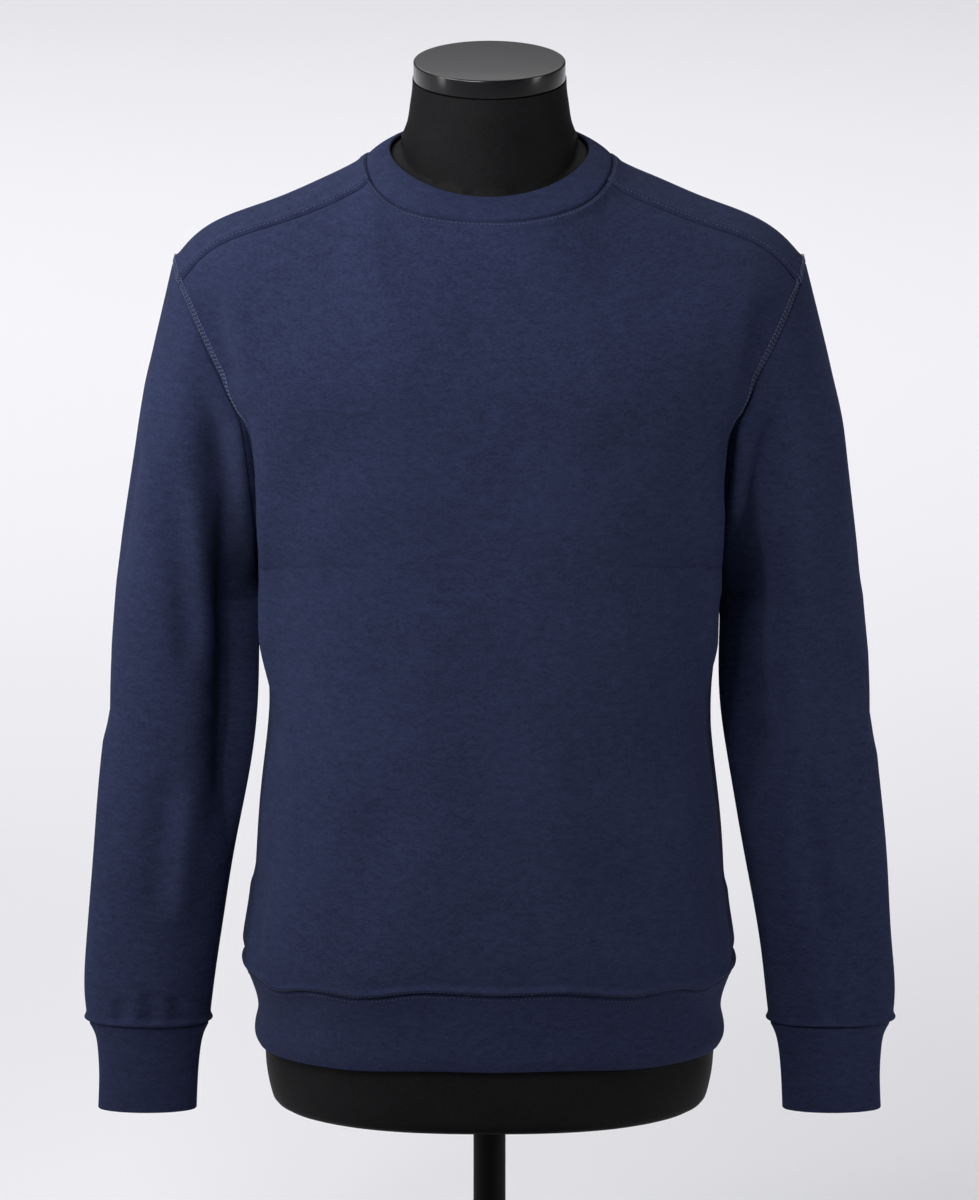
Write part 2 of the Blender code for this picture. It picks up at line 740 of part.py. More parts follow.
def turned(name, profile, segments, made_of):
    """A solid turned about the Z axis from (radius, z) points, from the bottom up."""
    points, faces = [], []
    for radius, z in profile:
        for k in range(segments):
            angle = 2 * math.pi * k / segments
            points.append((radius * math.cos(angle), radius * math.sin(angle), z))
    faces = grid_faces(len(profile), segments, closed=True)
    faces.append(tuple(reversed(range(segments))))
    last = (len(profile) - 1) * segments
    faces.append(tuple(last + k for k in range(segments)))
    return add_object(name, points, faces, made_of)


# ---------------------------------------------------------------- build
def garment(fabric):
    front = front_grid()
    back = back_grid()
    shoulder = shoulder_grid()
    shoulder[0] = back[-1, -SHOULDER_COLUMNS - 1:]
    shoulder[-1] = front[-1, -SHOULDER_COLUMNS - 1:]
    loop = armhole_loop(front, back, shoulder)
    sleeve, turns = sleeve_grid(loop)
    left_shoulder = grid_piece(shoulder, flip=True)
    pieces = {
        "front": grid_piece(front),
        "back": joined(grid_piece(back, flip=True), left_shoulder, mirror_piece(left_shoulder)),
        "sleeve_left": grid_piece(sleeve, closed=True, flip=True),
        "cuff_left": grid_piece(cuff_grid(turns), closed=True, flip=True),
        "hem_band": grid_piece(hem_grid(front[0], back[0]), closed=True, flip=True),
        "collar": grid_piece(collar_grid(front, back, shoulder), closed=True),
    }
    pieces["sleeve_right"] = mirror_piece(pieces["sleeve_left"])
    pieces["cuff_right"] = mirror_piece(pieces["cuff_left"])
    surfaces = {"body": joined(pieces["front"], pieces["back"])}
    surfaces.update({name: piece for name, piece in pieces.items() if name not in ("front", "back")})
    normals = {name: surface_normals(*surface) for name, surface in surfaces.items()}
    for name, piece in pieces.items():
        mine = "body" if name in ("front", "back") else name
        others = {}
        for other, directions in normals.items():
            if other != mine:
                others.update({key: directions[key] for key in directions if key in normals[mine]})
        thin = mine == "body" or name.startswith("sleeve")
        points, faces = wall(piece, normals[mine], others, CLOTH if thin else BAND_CLOTH)
        add_object(name, points, faces, fabric)


def stand(jersey, lacquer, steel):
    form_torso(jersey)
    cap = turned("form_neck_cap", [
        (CAP_RADIUS - 0.001, 0.0),
        (CAP_RADIUS, 0.001),
        (CAP_RADIUS, CAP_THICKNESS - 0.0015),
        (CAP_RADIUS - 0.0015, CAP_THICKNESS),
    ], 48, lacquer)
    cap.location = (0.0, CAP_Y, NECK_TOP_Z + REST_GAP)
    cap.rotation_euler = (CAP_TILT, 0.0, 0.0)
    turned("stand_pole", [
        (POLE_RADIUS, PLATE_THICKNESS + REST_GAP),
        (POLE_RADIUS, FORM_BOTTOM_Z - REST_GAP),
    ], 24, steel)
    turned("stand_base", [
        (PLATE_RADIUS, 0.0),
        (PLATE_RADIUS, PLATE_THICKNESS - 0.002),
        (PLATE_RADIUS - 0.002, PLATE_THICKNESS),
    ], 64, steel)


def main():
    for old in list(bpy.data.objects):
        bpy.data.objects.remove(old)
    garment(material("navy_fleece", NAVY, 0.9))
    stand(
        material("black_jersey", BLACK_JERSEY, 0.85),
        material("black_lacquer", BLACK_LACQUER, 0.35),
        material("black_steel", BLACK_LACQUER, 0.4, metallic=0.2),
    )


main()
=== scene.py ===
"""Crewneck sweatshirt worn on a limbless dress form, on a round counter stand.

Metres, +Z up, the front faces -Y and the wearer's left is +X. The garment is one smooth
surface, made of level sections below the chest line and of arches over the shoulders above
it. Folds are laid on the surface, the panels are cut from it at their seams, and each panel
becomes a thin wall of cloth. The stitching is set along the seams by Geometry Nodes.
"""

import math

import bpy
import numpy as np
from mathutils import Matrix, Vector
from mathutils.kdtree import KDTree


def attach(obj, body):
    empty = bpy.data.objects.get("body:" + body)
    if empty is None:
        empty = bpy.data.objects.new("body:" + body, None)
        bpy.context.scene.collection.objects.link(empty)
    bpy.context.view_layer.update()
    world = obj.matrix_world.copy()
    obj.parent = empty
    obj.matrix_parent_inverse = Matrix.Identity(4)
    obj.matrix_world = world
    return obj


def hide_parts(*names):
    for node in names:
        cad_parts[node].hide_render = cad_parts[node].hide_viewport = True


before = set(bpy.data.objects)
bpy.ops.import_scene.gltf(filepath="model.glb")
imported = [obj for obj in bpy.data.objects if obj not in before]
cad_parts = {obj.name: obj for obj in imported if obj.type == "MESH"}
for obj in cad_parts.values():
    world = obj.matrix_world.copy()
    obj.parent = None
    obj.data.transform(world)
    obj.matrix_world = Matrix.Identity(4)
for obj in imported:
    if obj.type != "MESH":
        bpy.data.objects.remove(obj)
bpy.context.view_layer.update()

bl_info = {
    "name": "Sweatshirt on a dress form",
    "version": (1, 0, 0),
    "blender": (4, 5, 0),
    "location": "3D View > Sidebar > Sweatshirt",
    "description": "Builds a crewneck sweatshirt, the dress form that wears it and a studio",
    "category": "Object",
}

# ---------------------------------------------------------------- sizes of the garment
CLOTH = 0.0020
BAND_CLOTH = 0.0030
SEAM_GAP = 0.0001

HEM_SEAM_Z = 0.312          # where the body meets the hem band, at the sides
HEM_SEAM_RISE = 0.005       # and how much higher the seam is at the middle
ARMPIT_Z = 0.636
CHEST_SIDE_Z = 0.748
CHEST_FRONT_Z = 0.775
CHEST_BACK_Z = 0.790
SHOULDER_REACH = 0.242
RIDGE_Y = 0.005
ARMHOLE_FRONT = 0.062
ARMHOLE_BACK = 0.065
YOKE_FORWARD = 0.036

NECK_HALF_WIDTH = 0.0945
NECK_FRONT = 0.085
NECK_BACK = 0.080
NECK_SQUARENESS = 2.4
COLLAR_HALF_WIDTH = 0.0776
COLLAR_FRONT = 0.0700
COLLAR_BACK = 0.0710
COLLAR_HALF_DEPTH = 0.0705  # half way between the two
COLLAR_EDGE_Z = 0.9513
COLLAR_TILT = 0.0161
COLLAR_DIP = 0.0094
COLLAR_ROUND = 0.0015

CUFF_SEAM_Z = 0.267
BICEPS_Z = 0.600

FORM_BOTTOM_Z = 0.198
FORM_CLEAR = 0.0030
COLLAR_CLEAR = 0.0020
NECK_TOP_Z = 1.0045
CAP_RADIUS = 0.058
CAP_THICKNESS = 0.015
CAP_TILT = math.radians(5.3)
CAP_Y = -0.004
POLE_RADIUS = 0.0125
PLATE_RADIUS = 0.170
PLATE_THICKNESS = 0.010
REST_GAP = 0.0003           # between the stand's parts, the form and its cap

BODY_SECTIONS = (
    # side z, half width, front, back, squareness
    (0.312, 0.1885, 0.1310, 0.1220, 2.50),
    (0.332, 0.1875, 0.1330, 0.1240, 2.50),
    (0.360, 0.1835, 0.1328, 0.1225, 2.50),
    (0.405, 0.1795, 0.1310, 0.1180, 2.50),
    (0.450, 0.1755, 0.1290, 0.1100, 2.50),
    (0.514, 0.1703, 0.1262, 0.1035, 2.50),
    (0.580, 0.1737, 0.1242, 0.1030, 2.58),
    (0.636, 0.1770, 0.1232, 0.1070, 2.70),
    (0.690, 0.1870, 0.1226, 0.1110, 2.85),
    (0.748, 0.1980, 0.1220, 0.1130, 3.00),
)
RIDGE = (
    # x, z
    (0.0000, 0.9880),
    (0.0330, 0.9835),
    (0.0570, 0.9715),
    (0.0945, 0.9428),
    (0.1260, 0.9262),
    (0.1650, 0.9106),
    (0.2060, 0.8940),
    (0.2190, 0.8856),
    (0.2350, 0.8700),
    (0.2420, 0.8610),
)
ARCH_SQUARENESS = (
    # share, front, back
    (0.00, 1.70, 2.50),
    (0.37, 1.70, 2.25),
    (0.80, 1.90, 2.10),
    (1.00, 2.40, 2.30),
)
HEM_BAND = (
    # z, half width, front, back
    (0.312, 0.1885, 0.1310, 0.1220),
    (0.303, 0.1850, 0.1283, 0.1198),
    (0.290, 0.1806, 0.1262, 0.1184),
    (0.271, 0.1797, 0.1255, 0.1180),
    (0.256, 0.1812, 0.1252, 0.1180),
    (0.250, 0.1782, 0.1236, 0.1166),
)
HEM_SQUARENESS = 2.50
SLEEVE_SECTIONS = (
    # z, middle x, middle y, half width, half depth
    (0.600, 0.2326, 0.004, 0.0550, 0.0560),
    (0.561, 0.2343, 0.002, 0.0571, 0.0500),
    (0.514, 0.2370, 0.000, 0.0586, 0.0450),
    (0.451, 0.2450, -0.003, 0.0572, 0.0400),
    (0.388, 0.2530, -0.006, 0.0540, 0.0360),
    (0.325, 0.2600, -0.009, 0.0510, 0.0320),
    (0.285, 0.2632, -0.011, 0.0492, 0.0295),
    (0.267, 0.2635, -0.011, 0.0472, 0.0265),
)
CUFF = (
    # z, middle x, middle y, half width, half depth
    (0.267, 0.2635, -0.011, 0.0472, 0.0265),
    (0.259, 0.2633, -0.011, 0.0430, 0.0235),
    (0.246, 0.2635, -0.011, 0.0400, 0.0205),
    (0.225, 0.2640, -0.012, 0.0384, 0.0188),
    (0.199, 0.2650, -0.013, 0.0382, 0.0182),
)
FORM_SECTIONS = (
    # z, half width, front, back, squareness
    (0.198, 0.1480, 0.0960, 0.0900, 2.4),
    (0.202, 0.1600, 0.1070, 0.1000, 2.4),
    (0.211, 0.1688, 0.1150, 0.1075, 2.4),
    (0.229, 0.1725, 0.1180, 0.1105, 2.4),
    (0.265, 0.1735, 0.1185, 0.1110, 2.4),
    (0.330, 0.1715, 0.1170, 0.1080, 2.4),
    (0.420, 0.1600, 0.1110, 0.0950, 2.4),
    (0.510, 0.1520, 0.1060, 0.0860, 2.4),
    (0.600, 0.1600, 0.1110, 0.0900, 2.5),
    (0.680, 0.1720, 0.1170, 0.0970, 2.6),
    (0.760, 0.1830, 0.1150, 0.1010, 2.7),
    (0.830, 0.1930, 0.1080, 0.0990, 2.7),
    (0.880, 0.1980, 0.1030, 0.0960, 2.7),
    (0.950, 0.2000, 0.1000, 0.0950, 2.7),
)
NECK_SECTIONS = (
    # z, half width, front, back
    (0.9200, 0.0800, 0.0655, 0.0700),
    (0.9400, 0.0745, 0.0650, 0.0680),
    (0.9500, 0.0718, 0.0646, 0.0660),
    (0.9555, 0.0696, 0.0643, 0.0645),
    (0.9630, 0.0660, 0.0640, 0.0625),
    (0.9710, 0.0630, 0.0636, 0.0605),
    (0.9870, 0.0604, 0.0630, 0.0570),
    (0.9950, 0.0592, 0.0626, 0.0556),
    (1.0060, 0.0588, 0.0622, 0.0545),
)

# How finely the cloth is divided.
NECK_COLUMNS = 22
SHOULDER_COLUMNS = 40
SIDE_ROWS = 104
ARMHOLE_ROWS = 34
FRONT_ARCH_ROWS = 48
YOKE_ROWS = 14
BACK_ARCH_ROWS = 52
SLEEVE_CAP_ROWS = 74
SLEEVE_ROWS = 96
BAND_ROWS = 30
COLLAR_ROWS = 14
FORM_SEGMENTS = 180

# Folds. The path runs over the piece as seen from that side: x and z from the front or back,
# y and z from the left or right. Height is negative for a trough.
FOLDS = (
    # piece, side, width, height, path
    # chest edges in front of the armholes, and the hollows between them and the seams
    ("front", "right", 0.014, 0.007,
        ((-0.084, 0.76), (-0.078, 0.71), (-0.064, 0.655), (-0.052, 0.61), (-0.047, 0.56),
         (-0.05, 0.5))),
    ("front", "right", 0.008, 0.003, ((-0.074, 0.7), (-0.06, 0.64), (-0.05, 0.59), (-0.048, 0.55))),
    ("front", "left", 0.014, 0.007,
        ((-0.083, 0.765), (-0.077, 0.712), (-0.063, 0.66), (-0.052, 0.615), (-0.048, 0.575),
         (-0.05, 0.52))),
    ("front", "left", 0.008, 0.0028, ((-0.072, 0.695), (-0.058, 0.64), (-0.05, 0.6))),
    ("front", "right", 0.009, -0.0085,
        ((-0.062, 0.76), (-0.058, 0.715), (-0.048, 0.675), (-0.03, 0.65), (-0.015, 0.636))),
    ("front", "left", 0.009, -0.0085,
        ((-0.062, 0.758), (-0.058, 0.713), (-0.048, 0.673), (-0.03, 0.649), (-0.015, 0.636))),
    ("front", "front", 0.01, 0.0034,
        ((-0.197, 0.862), (-0.192, 0.822), (-0.187, 0.792), (-0.184, 0.755))),
    ("front", "front", 0.009, -0.004,
        ((-0.214, 0.85), (-0.206, 0.826), (-0.199, 0.8), (-0.194, 0.775))),
    ("front", "front", 0.01, 0.0034, ((0.198, 0.864), (0.193, 0.82), (0.187, 0.786), (0.184, 0.75))),
    ("front", "front", 0.01, -0.0036, ((0.214, 0.848), (0.207, 0.824), (0.199, 0.797), (0.194, 0.772))),
    # the body's long soft creases and the pull from the armpits
    ("front", "front", 0.01, -0.0026, ((-0.171, 0.57), (-0.165, 0.5), (-0.163, 0.43), (-0.168, 0.372))),
    ("front", "front", 0.008, 0.002, ((-0.156, 0.54), (-0.151, 0.465), (-0.153, 0.395))),
    ("front", "front", 0.012, -0.0026, ((0.168, 0.575), (0.163, 0.51), (0.164, 0.43), (0.17, 0.372))),
    ("front", "front", 0.009, 0.0018, ((0.152, 0.52), (0.15, 0.45), (0.154, 0.39))),
    ("front", "front", 0.026, -0.003, ((-0.115, 0.325), (-0.1, 0.4), (-0.078, 0.48))),
    ("front", "front", 0.032, 0.0026, ((-0.035, 0.325), (-0.045, 0.43), (-0.035, 0.56))),
    ("front", "front", 0.028, -0.0028, ((0.108, 0.325), (0.1, 0.42), (0.08, 0.52))),
    ("front", "front", 0.024, -0.0024, ((-0.165, 0.69), (-0.125, 0.735), (-0.07, 0.765))),
    ("front", "front", 0.024, -0.0024, ((0.168, 0.68), (0.13, 0.725), (0.08, 0.757))),
    ("front", "front", 0.02, 0.0018, ((-0.15, 0.64), (-0.11, 0.69), (-0.06, 0.712))),
    # the lobes at the sides, above the hem band
    ("front", "right", 0.012, -0.004, ((-0.052, 0.318), (-0.048, 0.35), (-0.05, 0.4))),
    ("front", "right", 0.013, 0.0036, ((-0.012, 0.32), (-0.012, 0.35), (-0.016, 0.39))),
    ("front", "left", 0.012, -0.0034, ((-0.054, 0.318), (-0.05, 0.355), (-0.052, 0.41))),
    ("front", "left", 0.013, 0.003, ((-0.014, 0.32), (-0.014, 0.35), (-0.018, 0.385))),
    ("back", "back", 0.012, 0.0048,
        ((-0.19, 0.85), (-0.184, 0.8), (-0.176, 0.74), (-0.168, 0.68), (-0.164, 0.62))),
    ("back", "back", 0.012, 0.0044,
        ((0.191, 0.848), (0.184, 0.796), (0.176, 0.735), (0.169, 0.672), (0.165, 0.61))),
    ("back", "back", 0.011, -0.005, ((-0.208, 0.842), (-0.2, 0.806), (-0.19, 0.77), (-0.182, 0.72))),
    ("back", "back", 0.011, -0.0046, ((0.208, 0.84), (0.199, 0.803), (0.189, 0.766), (0.181, 0.715))),
    ("back", "back", 0.02, -0.0038, ((-0.168, 0.7), (-0.125, 0.722), (-0.08, 0.735))),
    ("back", "back", 0.018, -0.0036, ((0.17, 0.69), (0.13, 0.705), (0.09, 0.712))),
    ("back", "back", 0.014, -0.004, ((-0.17, 0.56), (-0.15, 0.5), (-0.12, 0.44), (-0.085, 0.395))),
    ("back", "back", 0.015, -0.0044, ((0.172, 0.545), (0.148, 0.48), (0.112, 0.425), (0.07, 0.385))),
    ("back", "back", 0.012, 0.0032, ((-0.14, 0.43), (-0.128, 0.375), (-0.12, 0.33))),
    ("back", "back", 0.012, 0.003, ((0.118, 0.42), (0.124, 0.37), (0.128, 0.332))),
    ("back", "back", 0.024, -0.004, ((-0.02, 0.54), (-0.012, 0.45), (-0.018, 0.35))),
    ("back", "back", 0.026, 0.0036, ((0.05, 0.52), (0.044, 0.44), (0.05, 0.345))),
    # the hollow where each sleeve drops away behind the chest edge
    ("sleeve_right", "before", 0.02, -0.023,
        ((-0.216, 0.8), (-0.208, 0.768), (-0.202, 0.735), (-0.197, 0.7), (-0.193, 0.66),
         (-0.19, 0.6), (-0.19, 0.54), (-0.194, 0.47), (-0.202, 0.4))),
    ("sleeve_left", "before", 0.02, -0.023,
        ((0.216, 0.8), (0.208, 0.768), (0.202, 0.732), (0.197, 0.698), (0.193, 0.658), (0.19, 0.6),
         (0.19, 0.545), (0.193, 0.48), (0.2, 0.42))),
    ("sleeve_right", "left", 0.014, 0.0018, ((0.012, 0.65), (0.012, 0.6), (0.012, 0.56))),
    ("sleeve_left", "right", 0.014, 0.0014, ((0.012, 0.65), (0.012, 0.61), (0.012, 0.58))),
    ("sleeve_right", "front", 0.012, -0.005,
        ((-0.244, 0.72), (-0.24, 0.66), (-0.233, 0.59), (-0.229, 0.54))),
    ("sleeve_right", "front", 0.009, 0.004,
        ((-0.223, 0.7), (-0.219, 0.65), (-0.213, 0.59), (-0.211, 0.55))),
    ("sleeve_right", "front", 0.008, 0.0026, ((-0.258, 0.79), (-0.262, 0.73), (-0.263, 0.66))),
    ("sleeve_right", "front", 0.009, -0.0036, ((-0.19, 0.55), (-0.2, 0.536), (-0.214, 0.528))),
    ("sleeve_right", "front", 0.009, -0.0032, ((-0.19, 0.508), (-0.206, 0.5), (-0.224, 0.502))),
    ("sleeve_right", "front", 0.013, -0.0036, ((-0.245, 0.48), (-0.252, 0.42), (-0.26, 0.35))),
    ("sleeve_right", "front", 0.01, 0.003, ((-0.226, 0.465), (-0.234, 0.4), (-0.241, 0.34))),
    ("sleeve_right", "front", 0.007, -0.0026, ((-0.24, 0.27), (-0.243, 0.294))),
    ("sleeve_right", "front", 0.007, -0.0024, ((-0.262, 0.27), (-0.26, 0.298))),
    ("sleeve_right", "front", 0.007, -0.0026, ((-0.286, 0.27), (-0.284, 0.292))),
    ("sleeve_left", "front", 0.012, -0.005,
        ((0.233, 0.725), (0.229, 0.68), (0.222, 0.63), (0.219, 0.57))),
    ("sleeve_left", "front", 0.009, 0.004, ((0.212, 0.74), (0.208, 0.69), (0.206, 0.635))),
    ("sleeve_left", "front", 0.01, 0.004, ((0.266, 0.775), (0.268, 0.69), (0.269, 0.59))),
    ("sleeve_left", "front", 0.009, -0.0034, ((0.189, 0.548), (0.201, 0.532), (0.216, 0.525))),
    ("sleeve_left", "front", 0.009, -0.0032, ((0.189, 0.502), (0.206, 0.494), (0.226, 0.497))),
    ("sleeve_left", "front", 0.013, -0.0036, ((0.242, 0.48), (0.248, 0.42), (0.254, 0.345))),
    ("sleeve_left", "front", 0.01, 0.0026, ((0.264, 0.47), (0.27, 0.41), (0.274, 0.35))),
    ("sleeve_left", "front", 0.007, -0.0024, ((0.242, 0.27), (0.244, 0.292))),
    ("sleeve_left", "front", 0.007, -0.0026, ((0.265, 0.27), (0.264, 0.299))),
    ("sleeve_left", "front", 0.007, -0.0024, ((0.288, 0.27), (0.286, 0.293))),
    ("sleeve_right", "back", 0.012, -0.011,
        ((-0.214, 0.795), (-0.206, 0.76), (-0.2, 0.72), (-0.194, 0.66), (-0.19, 0.6))),
    ("sleeve_right", "back", 0.012, -0.0048, ((-0.272, 0.56), (-0.25, 0.532), (-0.22, 0.52))),
    ("sleeve_right", "back", 0.011, -0.0044, ((-0.276, 0.52), (-0.252, 0.498), (-0.224, 0.492))),
    ("sleeve_right", "back", 0.014, 0.0038, ((-0.25, 0.7), (-0.248, 0.64), (-0.242, 0.58))),
    ("sleeve_right", "back", 0.012, -0.0036, ((-0.25, 0.46), (-0.256, 0.4), (-0.26, 0.34))),
    ("sleeve_right", "back", 0.008, -0.0026, ((-0.256, 0.27), (-0.254, 0.3))),
    ("sleeve_left", "back", 0.012, -0.011,
        ((0.214, 0.796), (0.206, 0.758), (0.2, 0.716), (0.194, 0.656), (0.19, 0.6))),
    ("sleeve_left", "back", 0.012, -0.0046, ((0.274, 0.552), (0.248, 0.526), (0.218, 0.516))),
    ("sleeve_left", "back", 0.011, -0.0042, ((0.274, 0.512), (0.25, 0.49), (0.226, 0.486))),
    ("sleeve_left", "back", 0.014, 0.0036, ((0.252, 0.69), (0.249, 0.64), (0.244, 0.59))),
    ("sleeve_left", "back", 0.012, -0.0038, ((0.248, 0.45), (0.254, 0.39), (0.259, 0.335))),
    ("sleeve_left", "back", 0.008, -0.0026, ((0.27, 0.27), (0.268, 0.298))),
    ("sleeve_right", "right", 0.014, -0.0036, ((-0.02, 0.74), (-0.012, 0.68), (-0.01, 0.61))),
    ("sleeve_right", "right", 0.012, -0.0032, ((0.02, 0.56), (0.004, 0.52), (-0.01, 0.49))),
    ("sleeve_left", "left", 0.014, -0.0034, ((0.018, 0.73), (0.012, 0.67), (0.01, 0.6))),
    ("sleeve_left", "left", 0.012, -0.0034, ((0.018, 0.55), (0.002, 0.515), (-0.012, 0.48))),
    ("hem_band", "front", 0.02, 0.0016, ((-0.13, 0.305), (-0.12, 0.262))),
    ("hem_band", "front", 0.022, -0.0016, ((0.04, 0.305), (0.05, 0.26))),
    ("hem_band", "back", 0.02, -0.0018, ((-0.06, 0.305), (-0.066, 0.262))),
    ("hem_band", "back", 0.022, 0.0016, ((0.07, 0.305), (0.076, 0.262))),
)
# How the hem seam and the band's lower edge wander up and down.
HEM_WAVE = (
    # x, front seam, back seam, front edge, back edge
    (-0.200, 0.0000, 0.0000, 0.0000, 0.0000),
    (-0.186, 0.0000, 0.0000, 0.0008, 0.0004),
    (-0.174, -0.0016, -0.0006, 0.0016, 0.0008),
    (-0.166, -0.0050, -0.0010, 0.0022, 0.0008),
    (-0.150, -0.0032, -0.0012, 0.0026, 0.0008),
    (-0.135, -0.0014, -0.0002, 0.0028, 0.0002),
    (-0.104, -0.0040, 0.0014, 0.0030, -0.0006),
    (-0.054, 0.0011, -0.0010, 0.0052, 0.0006),
    (0.008, -0.0009, 0.0012, 0.0048, -0.0004),
    (0.060, 0.0006, -0.0016, 0.0052, 0.0004),
    (0.115, -0.0034, 0.0010, 0.0030, 0.0000),
    (0.148, -0.0018, -0.0004, 0.0026, -0.0006),
    (0.166, -0.0042, -0.0006, 0.0020, -0.0006),
    (0.176, -0.0012, -0.0004, 0.0014, -0.0004),
    (0.187, 0.0000, 0.0000, 0.0006, 0.0000),
    (0.200, 0.0000, 0.0000, 0.0000, 0.0000),
)
WAVE_REACH = 0.022          # how far above and below the seam the wave is felt


# ---------------------------------------------------------------- curves
def spline(knots, values):
    """A smooth curve through the values: a natural cubic spline over rising knots."""
    x = np.asarray(knots, float)
    y = np.asarray(values, float)
    step = np.diff(x)
    slope = np.diff(y) / step
    count = len(x)
    system = np.eye(count)
    right = np.zeros(count)
    for i in range(1, count - 1):
        system[i, i - 1] = step[i - 1]
        system[i, i] = 2 * (step[i - 1] + step[i])
        system[i, i + 1] = step[i]
        right[i] = 6 * (slope[i] - slope[i - 1])
    bend = np.linalg.solve(system, right)

    def at(t):
        t = np.clip(np.asarray(t, float), x[0], x[-1])
        i = np.clip(np.searchsorted(x, t, side="right") - 1, 0, count - 2)
        a = x[i + 1] - t
        b = t - x[i]
        h = step[i]
        return (
            (bend[i] * a**3 + bend[i + 1] * b**3) / (6 * h)
            + (y[i] / h - bend[i] * h / 6) * a
            + (y[i + 1] / h - bend[i + 1] * h / 6) * b
        )

    return at


def columns_of(table):
    """One spline for each column of a table after its first, over the first."""
    rows = np.array(sorted(table), float)
    return [spline(rows[:, 0], rows[:, k]) for k in range(1, rows.shape[1])]


def power(value, exponent):
    return np.maximum(value, 0.0) ** exponent


def ease(count):
    """Shares from 0 to 1 that lie closer together at both ends."""
    even = np.linspace(0, 1, count + 1)
    return 0.35 * even + 0.65 * (1 - np.cos(math.pi * even)) / 2


def ease_out(count):
    """Shares from 0 to 1 that lie closer together near 1."""
    return 1 - (1 - np.linspace(0, 1, count + 1)) ** 1.6


def section(half_width, depth, squareness, edge, shares):
    """Points of a quarter section, from its middle to where its depth has fallen to edge."""
    last = math.acos(min(1.0, (edge / depth) ** (squareness / 2)))
    turn = np.linspace(0, last, 1200)
    x = half_width * power(np.sin(turn), 2 / squareness)
    y = depth * power(np.cos(turn), 2 / squareness)
    run = np.concatenate([[0], np.cumsum(np.hypot(np.diff(x), np.diff(y)))])
    at = np.asarray(shares) * run[-1]
    return np.interp(at, run, x), np.interp(at, run, y)


body_half_width, body_front, body_back, body_squareness = columns_of(BODY_SECTIONS)
ridge_z, = columns_of(RIDGE)
front_squareness, back_squareness = columns_of(ARCH_SQUARENESS)


# ---------------------------------------------------------------- the body's surface
def armhole_edge(z, reach):
    """How far the armhole reaches forward or back at height z: a round bottom."""
    if z <= ARMPIT_Z:
        return 0.0
    drop = (CHEST_SIDE_Z - z) / (CHEST_SIDE_Z - ARMPIT_Z)
    return reach * math.sqrt(max(0.0, 1 - drop * drop))


def body_row(side, side_z, shares):
    """A row of body points at the sides' height side_z, for the front (-1) or back (1)."""
    reach = ARMHOLE_FRONT if side < 0 else ARMHOLE_BACK
    middle_z = CHEST_FRONT_Z if side < 0 else CHEST_BACK_Z
    depth = body_front(side_z) if side < 0 else body_back(side_z)
    half_width = float(body_half_width(side_z))
    x, y = section(half_width, depth, body_squareness(side_z), armhole_edge(side_z, reach), shares)
    rise = max(0.0, side_z - HEM_SEAM_Z) / (CHEST_SIDE_Z - HEM_SEAM_Z)
    lift = (middle_z - CHEST_SIDE_Z) * rise * rise + HEM_SEAM_RISE * (1 - rise)
    z = side_z + lift * (1 - (x / half_width) ** 2.5)
    return np.stack([x, side * y, z], axis=1)


CHEST_STATIONS = np.linspace(0, 1, 1001)
CHEST_LINES = {side: body_row(side, CHEST_SIDE_Z, CHEST_STATIONS) for side in (-1, 1)}


def chest_point(side, share):
    """The point of the chest line at this share from the middle to the armhole."""
    line = CHEST_LINES[side]
    return [float(np.interp(share, CHEST_STATIONS, line[:, k])) for k in range(3)]


def arch_point(side, share, turn):
    """A point of the arch at this share from the middle (0) to the armhole (1)."""
    x0, y0, z0 = chest_point(side, share)
    squareness = float((front_squareness if side < 0 else back_squareness)(share))
    x1 = SHOULDER_REACH * share
    y1 = RIDGE_Y * share
    z1 = float(ridge_z(x1))
    up = math.sin(turn) ** (2 / squareness) if turn > 0 else 0.0
    out = max(0.0, math.cos(turn)) ** (2 / squareness)
    return np.array([x0 + (x1 - x0) * up, y1 + (y0 - y1) * out, z0 + (z1 - z0) * up])


def surface_over(x, y):
    """(side, share, turn) of the arch point that lies over x, y. x isn't negative."""
    share = min(1.0, x / SHOULDER_REACH)
    for _ in range(30):
        ridge_y = RIDGE_Y * share
        side = -1 if y < ridge_y else 1
        x0, y0, _ = chest_point(side, share)
        squareness = float((front_squareness if side < 0 else back_squareness)(share))
        out = min(1.0, (y - ridge_y) / (y0 - ridge_y))
        up = (1 - out**squareness) ** (1 / squareness)
        miss = x - x0 - (SHOULDER_REACH * share - x0) * up
        share = min(1.0, max(0.0, share + miss / SHOULDER_REACH))
        if abs(miss) < 1e-7:
            break
    turn = math.atan2(power(up, squareness / 2), power(out, squareness / 2))
    return side, share, turn


def neck_ring(turn):
    """(x, y) of the collar seam. turn is 0 at the front, half a turn at the back."""
    bend = 2 / NECK_SQUARENESS
    reach = NECK_FRONT if math.cos(turn) > 0 else NECK_BACK
    x = NECK_HALF_WIDTH * abs(math.sin(turn)) ** bend
    y = -math.copysign(reach * abs(math.cos(turn)) ** bend, math.cos(turn))
    return x, y


def yoke_turn(share):
    """The turn at which the front arch at this share meets the shoulder seam."""
    low, high = 0.0, math.pi / 2
    for _ in range(30):
        middle = (low + high) / 2
        if arch_point(-1, share, middle)[1] < -YOKE_FORWARD + RIDGE_Y * share:
            low = middle
        else:
            high = middle
    return low


def find_corner():
    """The turn on the neck ring, and the share, where the shoulder seam meets the collar."""
    low, high = 0.0, math.pi / 2
    for _ in range(30):
        middle = (low + high) / 2
        _, share, _ = surface_over(*neck_ring(middle))
        if neck_ring(middle)[1] < -YOKE_FORWARD + RIDGE_Y * share:
            low = middle
        else:
            high = middle
    return low, share


CORNER_TURN, CORNER_SHARE = find_corner()
RIDGE_SHARE = surface_over(NECK_HALF_WIDTH, 0.0)[1]


